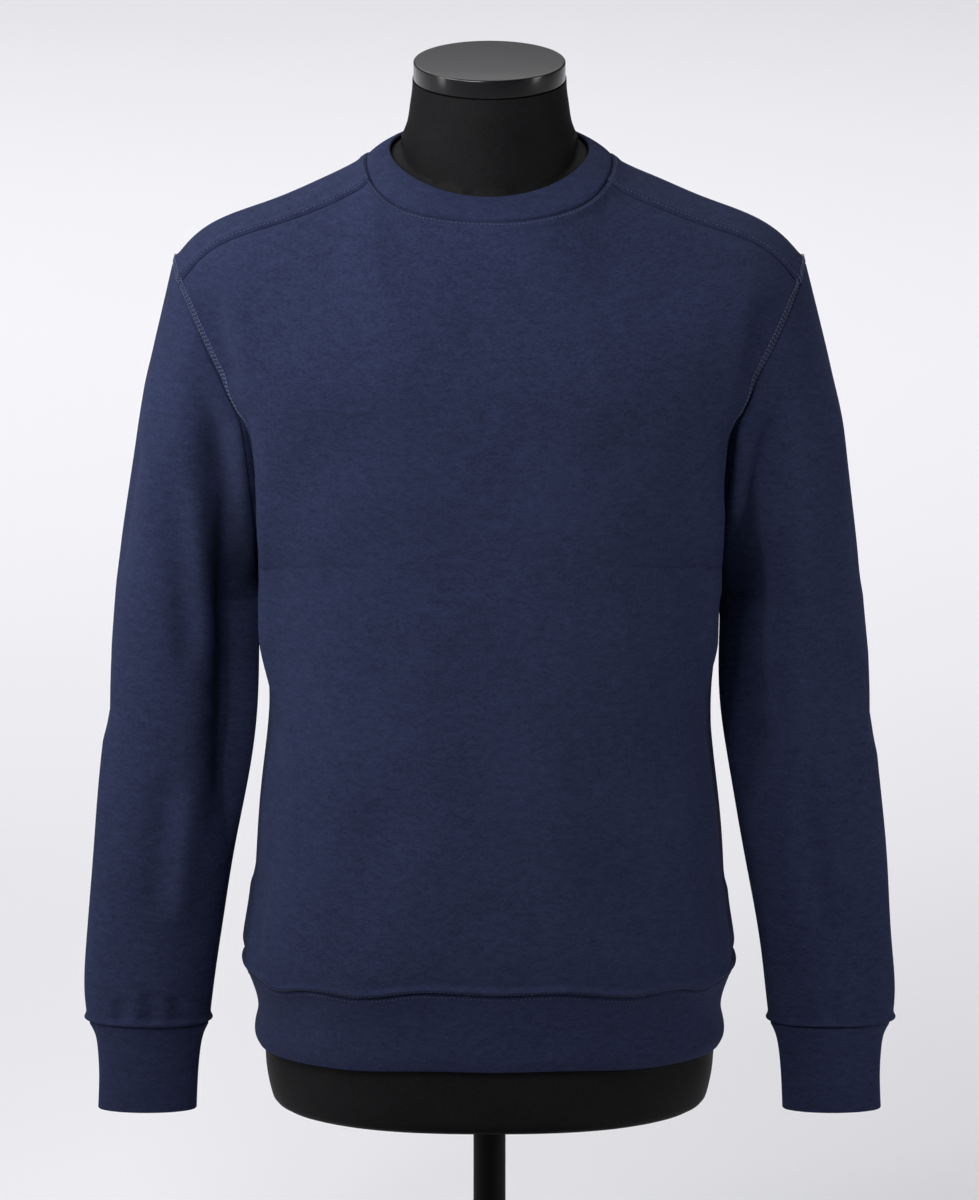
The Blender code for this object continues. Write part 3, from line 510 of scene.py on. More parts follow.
def half_shares():
    """Shares of the body's columns: the neck's, then the shoulder's."""
    neck = np.linspace(0, CORNER_SHARE, NECK_COLUMNS + 1)
    shoulder = CORNER_SHARE + (1 - CORNER_SHARE) * ease(SHOULDER_COLUMNS)
    return np.concatenate([neck, shoulder[1:]])


def side_heights():
    """Heights of the body's rows at the sides, from the hem seam to the chest line."""
    low = HEM_SEAM_Z + (ARMPIT_Z - HEM_SEAM_Z) * (1 - ease_out(SIDE_ROWS))[::-1]
    swing = np.linspace(0, math.pi / 2, ARMHOLE_ROWS + 1)[1:]
    high = CHEST_SIDE_Z - (CHEST_SIDE_Z - ARMPIT_Z) * np.cos(swing)
    return np.concatenate([low, high])


def mirrored(half):
    """A row of half a panel made whole, from the right side (-X) to the left."""
    other = half[:0:-1] * [-1, 1, 1]
    return np.concatenate([other, half])


def arch_rows(side, tops, count):
    """Rows from the chest line up to these (share, turn) ends, one for each column."""
    rows = []
    for rise in ease_out(count)[1:]:
        half = [
            arch_point(side, share + (top_share - share) * rise, top_turn * rise)
            for share, (top_share, top_turn) in zip(half_shares(), tops)
        ]
        rows.append(mirrored(np.array(half)))
    return rows


def front_grid():
    tops = []
    for j, share in enumerate(half_shares()):
        if j < NECK_COLUMNS:
            tops.append(surface_over(*neck_ring(CORNER_TURN * j / NECK_COLUMNS))[1:])
        else:
            tops.append((share, yoke_turn(share)))
    rows = [mirrored(body_row(-1, z, half_shares())) for z in side_heights()]
    return np.array(rows + arch_rows(-1, tops, FRONT_ARCH_ROWS))


def back_grid():
    """The back from the hem seam to the back of the neck and the shoulders' ridge."""
    along = ease(SHOULDER_COLUMNS)
    tops = []
    for j in range(len(half_shares())):
        if j < NECK_COLUMNS:
            ring = math.pi - (math.pi / 2) * j / NECK_COLUMNS
            tops.append(surface_over(*neck_ring(ring))[1:])
        else:
            tops.append((RIDGE_SHARE + (1 - RIDGE_SHARE) * along[j - NECK_COLUMNS], math.pi / 2))
    rows = [mirrored(body_row(1, z, half_shares())) for z in side_heights()]
    return np.array(rows + arch_rows(1, tops, BACK_ARCH_ROWS))


def shoulder_grid(back_row, front_row):
    """The left part of the back that comes over the ridge, down to the shoulder seam."""
    rows = [back_row]
    for drop in ease_out(YOKE_ROWS)[1:-1]:
        ring = math.pi / 2 + (CORNER_TURN - math.pi / 2) * drop
        side, inner_share, inner_turn = surface_over(*neck_ring(ring))
        if side > 0:
            inner_turn = math.pi / 2
        row = []
        for j, along in enumerate(ease(SHOULDER_COLUMNS)):
            share = inner_share + (1 - inner_share) * along
            turn = math.pi / 2 + (yoke_turn(share) - math.pi / 2) * drop if j else inner_turn
            row.append(arch_point(-1, share, turn))
        rows.append(row)
    rows.append(front_row)
    return np.array(rows)


def armhole_loop(front, back, shoulder):
    """The left armhole's points, from the armpit over the front, the top and the back."""
    up_front = front[SIDE_ROWS:, -1]
    over_top = shoulder[::-1][1:-1, -1]
    down_back = back[SIDE_ROWS:, -1][::-1]
    return np.concatenate([up_front, over_top, down_back[:-1]])


# ---------------------------------------------------------------- sleeve and bands
def ring_points(middle_x, middle_y, half_width, half_depth, z, turns):
    """A level ring of the sleeve. turn 0 is next to the body, a quarter turn is the front."""
    x = middle_x - half_width * np.cos(turns)
    y = middle_y - half_depth * np.sin(turns)
    return np.stack([x, y, np.full(len(turns), z)], axis=1)


def sleeve_grid(loop):
    """The left sleeve, from the armhole to the cuff seam."""
    steps = np.linalg.norm(np.diff(np.concatenate([loop, loop[:1]]), axis=0), axis=1)
    run = np.concatenate([[0], np.cumsum(steps)])[:-1] / steps.sum()
    turns = 2 * math.pi * run
    tube = columns_of(SLEEVE_SECTIONS)
    biceps = ring_points(*[float(c(BICEPS_Z)) for c in tube], BICEPS_Z, turns)
    below = ring_points(*[float(c(BICEPS_Z - 0.01)) for c in tube], BICEPS_Z - 0.01, turns)
    downward = (below - biceps) / np.linalg.norm(below - biceps, axis=1)[:, None]
    outer = (1 - np.cos(turns)) / 2
    leave = np.stack([0.10 + 0.17 * outer, -0.20 * np.sin(turns), -np.ones(len(turns))], axis=1)
    leave /= np.linalg.norm(leave, axis=1)[:, None]
    reach = np.linalg.norm(biceps - loop, axis=1)[:, None]
    rows = []
    for t in 1 - ease_out(SLEEVE_CAP_ROWS)[::-1]:
        rows.append(
            (2 * t**3 - 3 * t**2 + 1) * loop
            + (t**3 - 2 * t**2 + t) * reach * leave
            + (3 * t**2 - 2 * t**3) * biceps
            + (t**3 - t**2) * reach * downward
        )
    for z in BICEPS_Z + (CUFF_SEAM_Z - BICEPS_Z) * ease_out(SLEEVE_ROWS)[1:]:
        rows.append(ring_points(*[float(c(z)) for c in tube], z, turns))
    return np.array(rows), turns


def cuff_grid(turns):
    tube = columns_of(CUFF)
    heights = CUFF_SEAM_Z + (CUFF[-1][0] - CUFF_SEAM_Z) * ease(BAND_ROWS)
    return np.array([ring_points(*[float(c(z)) for c in tube], z, turns) for z in heights])


def hem_grid(front_row, back_row):
    """The hem band. Its columns are those of the front, then of the back."""
    shares = half_shares()
    top = np.concatenate([front_row, back_row[::-1][1:-1]])
    level = columns_of(HEM_BAND)
    rows = [top]
    for drop in ease(BAND_ROWS)[1:]:
        z = HEM_SEAM_Z + (HEM_BAND[-1][0] - HEM_SEAM_Z) * drop
        half_width, front, back = [float(c(z)) for c in level]
        lift = (top[:, 2] - HEM_SEAM_Z) * (1 - drop) ** 2
        x, y = section(half_width, front, HEM_SQUARENESS, 0.0, shares)
        before = mirrored(np.stack([x, -y, np.full(len(x), z)], axis=1))
        x, y = section(half_width, back, HEM_SQUARENESS, 0.0, shares)
        behind = mirrored(np.stack([x, y, np.full(len(x), z)], axis=1))
        row = np.concatenate([before, behind[::-1][1:-1]])
        row[:, 2] += lift
        rows.append(row)
    return np.array(rows)


def collar_edge(turn):
    front = math.cos(turn)
    reach = COLLAR_FRONT if front > 0 else COLLAR_BACK
    return np.array([
        COLLAR_HALF_WIDTH * math.sin(turn),
        -reach * front,
        COLLAR_EDGE_Z - COLLAR_TILT * front - COLLAR_DIP * front * front,
    ])


def collar_grid(front, back, shoulder):
    """The collar, from its seam to its free edge, round from the centre front by the left."""
    middle = NECK_COLUMNS + SHOULDER_COLUMNS
    seam = list(front[-1, middle:middle + NECK_COLUMNS + 1])
    seam += list(shoulder[::-1][1:-1, 0])
    seam += list(back[-1, middle:middle + NECK_COLUMNS + 1][::-1])
    seam = np.array(seam)
    seam = np.concatenate([seam, seam[-2:0:-1] * [-1, 1, 1]])
    plan = np.arctan2(
        seam[:, 0] / NECK_HALF_WIDTH,
        -seam[:, 1] / np.where(seam[:, 1] < 0, NECK_FRONT, NECK_BACK),
    )
    edge = np.array([collar_edge(t) for t in plan])
    out = np.stack([np.sin(plan), -np.cos(plan), np.full(len(plan), 0.8)], axis=1)
    out /= np.linalg.norm(out, axis=1)[:, None]
    return np.array([
        seam + (edge - seam) * t + out * COLLAR_ROUND * 4 * t * (1 - t) for t in ease(COLLAR_ROWS)
    ])


# ---------------------------------------------------------------- surfaces
def grid_faces(rows, columns, closed):
    """Quads of a grid of points. A closed one joins its last column to its first."""
    faces = []
    for r in range(rows - 1):
        for c in range(columns if closed else columns - 1):
            right = (c + 1) % columns
            a, b = r * columns + c, r * columns + right
            faces.append((a, b, b + columns, a + columns))
    return np.array(faces)


class Surface:
    """Points, quads facing outwards, and a flat place in metres for each corner of a quad."""

    def __init__(self, points, faces, flat):
        self.points = points
        self.faces = faces
        self.flat = flat

    def normals(self):
        a, b, c, d = (self.points[self.faces[:, k]] for k in range(4))
        facing = np.cross(c - a, d - b)
        total = np.zeros_like(self.points)
        for k in range(4):
            np.add.at(total, self.faces[:, k], facing)
        return total / np.maximum(np.linalg.norm(total, axis=1), 1e-20)[:, None]

    def rim(self):
        """The edges with a face on one side only, as pairs of points in that face's order."""
        starts = self.faces.reshape(-1)
        ends = np.roll(self.faces, -1, axis=1).reshape(-1)
        there = set(zip(starts.tolist(), ends.tolist()))
        return [pair for pair in zip(starts.tolist(), ends.tolist()) if (pair[1], pair[0]) not in there]


def grid_surface(grid, closed=False, flip=False):
    rows, columns = grid.shape[:2]
    points = np.round(grid.reshape(-1, 3), 6) + 0.0
    faces = grid_faces(rows, columns, closed)
    middle_row = grid[rows // 2]
    if closed:
        middle_row = np.concatenate([middle_row, middle_row[:1]])
    across = np.concatenate([[0], np.cumsum(np.linalg.norm(np.diff(middle_row, axis=0), axis=1))])
    middle_column = grid[:, columns // 2]
    along = np.concatenate([[0], np.cumsum(np.linalg.norm(np.diff(middle_column, axis=0), axis=1))])
    row = np.repeat(np.arange(rows - 1), columns if closed else columns - 1)
    column = np.tile(np.arange(columns if closed else columns - 1), rows - 1)
    flat = np.stack([
        np.stack([across[column], along[row]], axis=1),
        np.stack([across[column + 1], along[row]], axis=1),
        np.stack([across[column + 1], along[row + 1]], axis=1),
        np.stack([across[column], along[row + 1]], axis=1),
    ], axis=1)
    if flip:
        faces = faces[:, ::-1]
        flat = flat[:, ::-1]
    return Surface(points, faces, flat)


def joined(*surfaces):
    """Surfaces made one, with points at the same place merged."""
    points = np.concatenate([s.points for s in surfaces])
    offset, faces = 0, []
    for surface in surfaces:
        faces.append(surface.faces + offset)
        offset += len(surface.points)
    merged, index = np.unique(points, axis=0, return_inverse=True)
    flat = np.concatenate([s.flat for s in surfaces])
    return Surface(merged, index.reshape(-1)[np.concatenate(faces)], flat)


def mirror_surface(surface):
    return Surface(surface.points * [-1, 1, 1] + 0.0, surface.faces[:, ::-1], surface.flat[:, ::-1])


def keys_of(points):
    return [tuple(p) for p in np.round(points, 6) + 0.0]


def distance_to_path(places, path):
    """(distance, share along) from each place in a plane to a path of straight runs."""
    path = np.array(path)
    lengths = np.linalg.norm(np.diff(path, axis=0), axis=1)
    starts = np.concatenate([[0], np.cumsum(lengths)])
    best = np.full(len(places), 1e9)
    share = np.zeros(len(places))
    for a, b, length, start in zip(path[:-1], path[1:], lengths, starts):
        t = np.clip((places - a) @ (b - a) / length**2, 0, 1)
        gap = np.linalg.norm(places - a - t[:, None] * (b - a), axis=1)
        nearer = gap < best
        best[nearer] = gap[nearer]
        share[nearer] = (start + t[nearer] * length) / starts[-1]
    return best, share


SIDES = {
    # which axes are seen, the direction that the piece must face, and how far round it reaches
    "front": ((0, 2), (0, -1, 0), 0.35),
    "before": ((0, 2), (0, -1, 0), -0.10),
    "back": ((0, 2), (0, 1, 0), 0.35),
    "left": ((1, 2), (1, 0, 0), 0.35),
    "right": ((1, 2), (-1, 0, 0), 0.35),
}


def fold_height(name, points, normals, strength):
    """How far the folds raise each point of a piece."""
    height = np.zeros(len(points))
    for pieces, side, width, rise, path in FOLDS:
        if pieces != name:
            continue
        axes, facing, wrap = SIDES[side]
        gap, share = distance_to_path(points[:, axes], path)
        turned = np.clip(normals @ np.array(facing) * 2.2 + wrap, 0, 1)
        taper = np.clip(np.minimum(share, 1 - share) * 4 + 0.12, 0, 1)
        taper = taper * taper * (3 - 2 * taper)
        height += rise * strength * np.exp(-((gap / width) ** 2)) * taper * turned
    return height


def seam_hold(points, seam):
    """How freely each point moves: 0 on the seam, which holds the cloth, and 1 well away from it."""
    tree = KDTree(len(seam))
    for i, p in enumerate(seam):
        tree.insert(p, i)
    tree.balance()
    return np.array([1 - math.exp(-((tree.find(p)[2] / SEAM_HOLD) ** 2)) for p in points])


def slack(points):
    """The slight unevenness of soft cloth, in metres."""
    x, y, z = points.T
    return 0.00045 * (
        np.sin(31 * x + 17 * z + 1.3 * np.sin(23 * y))
        + 0.8 * np.sin(47 * z - 19 * x + 2.1 * np.sin(29 * x + 11 * y))
        + 0.6 * np.sin(71 * x - 37 * y + 13 * z)
    )


def hem_wave(points):
    """How far the hem seam and the band's edge are moved up at each point."""
    seam_front, seam_back, edge_front, edge_back = columns_of(HEM_WAVE)
    x, y, z = points.T
    behind = np.clip(0.5 + y / 0.08, 0, 1)
    seam = seam_front(x) * (1 - behind) + seam_back(x) * behind
    edge = edge_front(x) * (1 - behind) + edge_back(x) * behind
    near_seam = np.exp(-(((z - HEM_SEAM_Z - 0.003) / WAVE_REACH) ** 2))
    near_edge = np.exp(-(((z - HEM_BAND[-1][0]) / WAVE_REACH) ** 2))
    inside = np.abs(x) < 0.2
    return np.where(inside, seam * near_seam + edge * near_edge, 0.0)


# Seams: how deep the line is, how high the cloth stands beside it and on which pieces,
# how far from the line it stands highest, and how wide that is.
SEAMS = (
    # seam, groove, raised pieces, height, distance, width
    ("shoulder", 0.0014, ("back",), 0.0018, 0.0042, 0.0034),
    ("armhole", 0.0014, ("front", "back"), 0.0010, 0.0040, 0.0032),
    ("neck", 0.0016, ("front", "back"), 0.0012, 0.0040, 0.0030),
    ("hem", 0.0022, ("front", "back"), 0.0030, 0.0032, 0.0024),
    ("cuff", 0.0018, ("sleeve_left", "sleeve_right"), 0.0022, 0.0034, 0.0026),
    ("side", 0.0007, ("front", "back"), 0.0003, 0.0030, 0.0024),
)
GROOVE_WIDTH = 0.0012
SEAM_HOLD = 0.018           # how far from the armhole seam a sleeve's folds take to form


def seam_height(name, points, seams):
    """How far the seams lower and raise each point of a piece."""
    height = np.zeros(len(points))
    for seam, groove, raised, rise, distance, width in SEAMS:
        line = seams[seam]
        tree = KDTree(len(line))
        for i, p in enumerate(line):
            tree.insert(p, i)
        tree.balance()
        low, high = line.min(0) - 0.02, line.max(0) + 0.02
        for i in np.flatnonzero(((points > low) & (points < high)).all(axis=1)):
            gap = tree.find(points[i])[2]
            if gap > 0.02:
                continue
            height[i] -= groove * math.exp(-((gap / GROOVE_WIDTH) ** 2))
            if name in raised:
                height[i] += rise * math.exp(-(((gap - distance) / width) ** 2))
    return height


def dense(line, step=0.0008):
    """A path with points this close together."""
    line = np.asarray(line)
    run = np.concatenate([[0], np.cumsum(np.linalg.norm(np.diff(line, axis=0), axis=1))])
    at = np.linspace(0, run[-1], max(2, int(run[-1] / step)))
    return np.stack([np.interp(at, run, line[:, k]) for k in range(3)], axis=1)


def both_sides(line):
    line = np.asarray(line)
    return np.concatenate([line, line * [-1, 1, 1]])


GARMENT = {}


def garment(strength):
    """The finished outer surfaces of all the pieces, and the seams' lines on them."""
    if GARMENT:
        return GARMENT["pieces"], GARMENT["lines"]
    front = front_grid()
    back = back_grid()
    shoulder = shoulder_grid(back[-1, -SHOULDER_COLUMNS - 1:], front[-1, -SHOULDER_COLUMNS - 1:])
    loop = armhole_loop(front, back, shoulder)
    sleeve, turns = sleeve_grid(loop)
    collar = collar_grid(front, back, shoulder)
    left_shoulder = grid_surface(shoulder, flip=True)
    pieces = {
        "front": grid_surface(front),
        "back": joined(grid_surface(back, flip=True), left_shoulder, mirror_surface(left_shoulder)),
        "sleeve_left": grid_surface(sleeve, closed=True, flip=True),
        "cuff_left": grid_surface(cuff_grid(turns), closed=True, flip=True),
        "hem_band": grid_surface(hem_grid(front[0], back[0]), closed=True, flip=True),
        "collar": grid_surface(collar, closed=True),
    }
    pieces["sleeve_right"] = mirror_surface(pieces["sleeve_left"])
    pieces["cuff_right"] = mirror_surface(pieces["cuff_left"])
    whole_neck = np.concatenate([collar[0], collar[0][:1]])
    whole_loop = np.concatenate([loop, loop[:1]])
    lines = {
        "shoulder": shoulder[-1],
        "armhole": whole_loop,
        "neck": whole_neck,
        "hem": np.concatenate([front[0], back[0][::-1][1:]]),
        "cuff": np.concatenate([sleeve[-1], sleeve[-1][:1]]),
        "side": front[:SIDE_ROWS + 1, -1],
    }
    seams = {name: dense(line) for name, line in lines.items()}
    for name in ("shoulder", "armhole", "cuff", "side"):
        seams[name] = both_sides(seams[name])
    moves = {}
    for name, surface in pieces.items():
        normals = surface.normals()
        height = fold_height(name, surface.points, normals, strength)
        if name.startswith("sleeve"):
            height *= seam_hold(surface.points, seams["armhole"])
        if name in ("front", "back") or name.startswith("sleeve"):
            height += slack(surface.points)
        height += seam_height(name, surface.points, seams)
        move = normals * height[:, None]
        move[:, 2] += hem_wave(surface.points) if name in ("front", "back", "hem_band") else 0
        for key, step in zip(keys_of(surface.points), move):
            moves.setdefault(key, []).append(step)
    moved = {key: np.mean(steps, axis=0) for key, steps in moves.items()}
    for surface in pieces.values():
        shift = np.array([moved[key] for key in keys_of(surface.points)])
        surface.points = np.round(surface.points + shift, 6) + 0.0
    for name, line in lines.items():
        lines[name] = line + [moved[key] for key in keys_of(line)]
    GARMENT.update(pieces=pieces, lines=lines)
    return pieces, lines


def unit(vector):
    return vector / np.linalg.norm(vector)


def wall(surface, others, thickness, free_edge):
    """A closed wall of cloth inside this surface: (points, quads, flat places).

    others are the outward directions of the surfaces that meet it at its seams. Edges for which
    free_edge holds are folds and are rounded.
    """
    count = len(surface.points)
    points, out = surface.points, surface.normals()
    rim = surface.rim()
    inward = {}
    for a, b in rim:
        along = points[b] - points[a]
        if np.linalg.norm(along) < 1e-9:
            continue
        for i in (a, b):
            inward.setdefault(i, []).append(unit(np.cross(out[i], along)))
    outer = points.copy()
    bulge = {}
    keys = keys_of(points[list(inward)])
    for (i, directions), key in zip(inward.items(), keys):
        first, last = directions[0], directions[-1]
        pull = (first + last) / (1 + float(first @ last))
        outer[i] += SEAM_GAP / 2 * pull
        bulge[i] = pull
        other = others.get(key, out[i])
        if float(other @ out[i]) > 0.3 or float(other @ pull) < -0.2:
            out[i] = unit(out[i] + other)
        else:
            outer[i] -= SEAM_GAP / 2 * out[i]
    inner = outer - out * thickness
    made = [outer, inner]
    faces = [surface.faces, surface.faces[:, ::-1] + count]
    flat = [surface.flat, surface.flat[:, ::-1]]
    ring = {}
    extra = []
    start = 2 * count
    for i in bulge:
        chain = [i]
        if free_edge(points[i]):
            for angle in (30, 60, 90, 120, 150):
                turn = math.radians(angle)
                middle = (outer[i] + inner[i]) / 2
                extra.append(
                    middle
                    + out[i] * thickness / 2 * math.cos(turn)
                    - bulge[i] * thickness / 2 * math.sin(turn)
                )
                chain.append(start)
                start += 1
        chain.append(i + count)
        ring[i] = chain
    strips = []
    for a, b in rim:
        if a not in ring or b not in ring or len(ring[a]) != len(ring[b]):
            left, right = ring.get(a, [a, a + count]), ring.get(b, [b, b + count])
            strips.append((b, a, left[-1], right[-1]))
            continue
        for k in range(len(ring[a]) - 1):
            strips.append((ring[b][k], ring[a][k], ring[a][k + 1], ring[b][k + 1]))
    if extra:
        made.append(np.array(extra))
    faces.append(np.array(strips))
    flat.append(np.zeros((len(strips), 4, 2)))
    return np.concatenate(made), np.concatenate(faces), np.concatenate(flat)


def mesh_object(name, points, faces, flat, made_of):
    mesh = bpy.data.meshes.new(name)
    mesh.from_pydata(points.tolist(), [], faces.tolist())
    mesh.materials.append(made_of)
    if flat is not None:
        layer = mesh.uv_layers.new(name="cloth")
        layer.data.foreach_set("uv", flat.reshape(-1))
    mesh.shade_smooth()
    mesh.validate()
    piece = bpy.data.objects.new(name, mesh)
    bpy.context.scene.collection.objects.link(piece)
    return piece


def place(piece, slot, *nodes):
    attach(piece, "root")
    if nodes:
        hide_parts(*nodes)
    return piece


# ---------------------------------------------------------------- materials
def node(tree, kind, **sockets):
    made = tree.nodes.new(kind)
    for name, value in sockets.items():
        made.inputs[name.replace("_", " ")].default_value = value
    return made


def sum_of(tree, operation, a, b):
    """A Math node. a and b are numbers or sockets."""
    made = tree.nodes.new("ShaderNodeMath")
    made.operation = operation
    for socket, value in zip(made.inputs, (a, b)):
        if isinstance(value, (int, float)):
            socket.default_value = value
        elif value is not None:
            tree.links.new(value, socket)
    return made.outputs[0]


def new_material(name):
    material = bpy.data.materials.new(name)
    material.use_nodes = True
    return material, material.node_tree, material.node_tree.nodes["Principled BSDF"]


def shaded(colour, factor):
    return tuple(min(1.0, c * factor) for c in colour[:3]) + (1.0,)


def weighted(tree, *terms):
    """The sum of values, each with its weight."""
    total = None
    for value, weight in terms:
        part = sum_of(tree, "MULTIPLY", value, weight)
        total = part if total is None else sum_of(tree, "ADD", total, part)
    return total


def stretched_place(tree, scale):
    stretch = node(tree, "ShaderNodeMapping", Scale=scale)
    tree.links.new(tree.nodes.new("ShaderNodeTexCoord").outputs["Object"], stretch.inputs["Vector"])
    return stretch.outputs[0]


def noise(tree, place_on, **sockets):
    made = node(tree, "ShaderNodeTexNoise", **sockets)
    tree.links.new(place_on, made.inputs["Vector"])
    return made.outputs["Fac"]


def tint(tree, shader, value, colour, dark, light, low=0.0, high=1.0):
    """Colours the surface from a darker to a lighter shade as the value goes from low to high."""
    ramp = tree.nodes.new("ShaderNodeValToRGB")
    for element, position, factor in zip(ramp.color_ramp.elements, (low, high), (dark, light)):
        element.position = position
        element.color = shaded(colour, factor)
    tree.links.new(value, ramp.inputs[0])
    tree.links.new(ramp.outputs[0], shader.inputs["Base Color"])


def emboss(tree, shader, height, strength, distance):
    bump = node(tree, "ShaderNodeBump", Strength=strength, Distance=distance)
    tree.links.new(height, bump.inputs["Height"])
    tree.links.new(bump.outputs[0], shader.inputs["Normal"])


def finish(shader, **sockets):
    for name, value in sockets.items():
        shader.inputs[name.replace("_", " ")].default_value = value


def knit_material(name, colour, wale, course, relief, streak):
    """Jersey knit. Wale and course are the loop's width and height in metres."""
    material, tree, shader = new_material(name)
    flat = tree.nodes.new("ShaderNodeUVMap")
    flat.uv_map = "cloth"
    split = tree.nodes.new("ShaderNodeSeparateXYZ")
    tree.links.new(flat.outputs["UV"], split.inputs[0])
    across = sum_of(tree, "DIVIDE", split.outputs["X"], wale)
    along = sum_of(tree, "DIVIDE", split.outputs["Y"], course)
    leg = sum_of(tree, "ABSOLUTE", sum_of(tree, "SUBTRACT", sum_of(tree, "FRACT", across, None), 0.5), None)
    slant = sum_of(tree, "ADD", along, sum_of(tree, "MULTIPLY", leg, 1.6))
    loop = sum_of(tree, "SINE", sum_of(tree, "MULTIPLY", slant, 2 * math.pi), None)
    rib = sum_of(tree, "SINE", sum_of(tree, "MULTIPLY", leg, 2 * math.pi), None)
    place_on = tree.nodes.new("ShaderNodeTexCoord").outputs["Object"]
    yarn_place = stretched_place(tree, (0.42, 0.42, 1.0))
    slub = noise(tree, yarn_place, Scale=900.0, Detail=3.0, Roughness=0.6)
    fuzz = noise(tree, yarn_place, Scale=260.0, Detail=4.0, Roughness=0.65)
    cloud = noise(tree, place_on, Scale=14.0, Detail=3.0, Roughness=0.55)
    mottle = weighted(tree, (slub, 0.5), (fuzz, 0.35), (cloud, 0.15), (loop, 0.03))
    tint(tree, shader, mottle, colour, 1 - streak, 1 + streak, 0.30, 0.70)
    yarn = sum_of(tree, "MULTIPLY", sum_of(tree, "ADD", loop, rib), relief)
    nap = sum_of(tree, "MULTIPLY", sum_of(tree, "ADD", fuzz, slub), relief * 1.6)
    emboss(tree, shader, sum_of(tree, "ADD", yarn, nap), 0.9, 1.0)
    finish(shader, Roughness=0.92, Specular_IOR_Level=0.05, Sheen_Weight=0.03, Sheen_Roughness=0.45)
    finish(shader, Sheen_Tint=(0.55, 0.65, 1.0, 1.0))
    return material


def thread_material(name, colour):
    material, tree, shader = new_material(name)
    place_on = tree.nodes.new("ShaderNodeTexCoord").outputs["Object"]
    tint(tree, shader, noise(tree, place_on, Scale=2600.0, Detail=2.0), colour, 0.7, 1.3)
    finish(shader, Roughness=0.55)
    return material


def cover_material(name, colour):
    """The form's stretched black jersey, a fine plain weave with a soft sheen."""
    material, tree, shader = new_material(name)
    place_on = tree.nodes.new("ShaderNodeTexCoord").outputs["Object"]
    weave = noise(tree, stretched_place(tree, (1.0, 1.0, 0.35)), Scale=1400.0, Detail=2.0)
    wear = noise(tree, place_on, Scale=24.0, Detail=4.0)
    tint(tree, shader, weighted(tree, (weave, 0.7), (wear, 0.3)), colour, 0.6, 1.5, 0.3, 0.7)
    emboss(tree, shader, weave, 0.4, 0.00025)
    finish(shader, Roughness=0.6, Specular_IOR_Level=0.05)
    return material


def painted_material(name, colour, roughness, coat, grain_scale, grain_depth):
    """Paint or lacquer with a faint orange peel."""
    material, tree, shader = new_material(name)
    place_on = tree.nodes.new("ShaderNodeTexCoord").outputs["Object"]
    grain = noise(tree, place_on, Scale=grain_scale, Detail=3.0)
    tint(tree, shader, grain, colour, 0.8, 1.25)
    emboss(tree, shader, grain, 0.3, grain_depth)
    finish(shader, Roughness=roughness, Specular_IOR_Level=0.1 + 0.4 * min(1.0, coat))
    finish(shader, Coat_Weight=coat, Coat_Roughness=0.12)
    return material


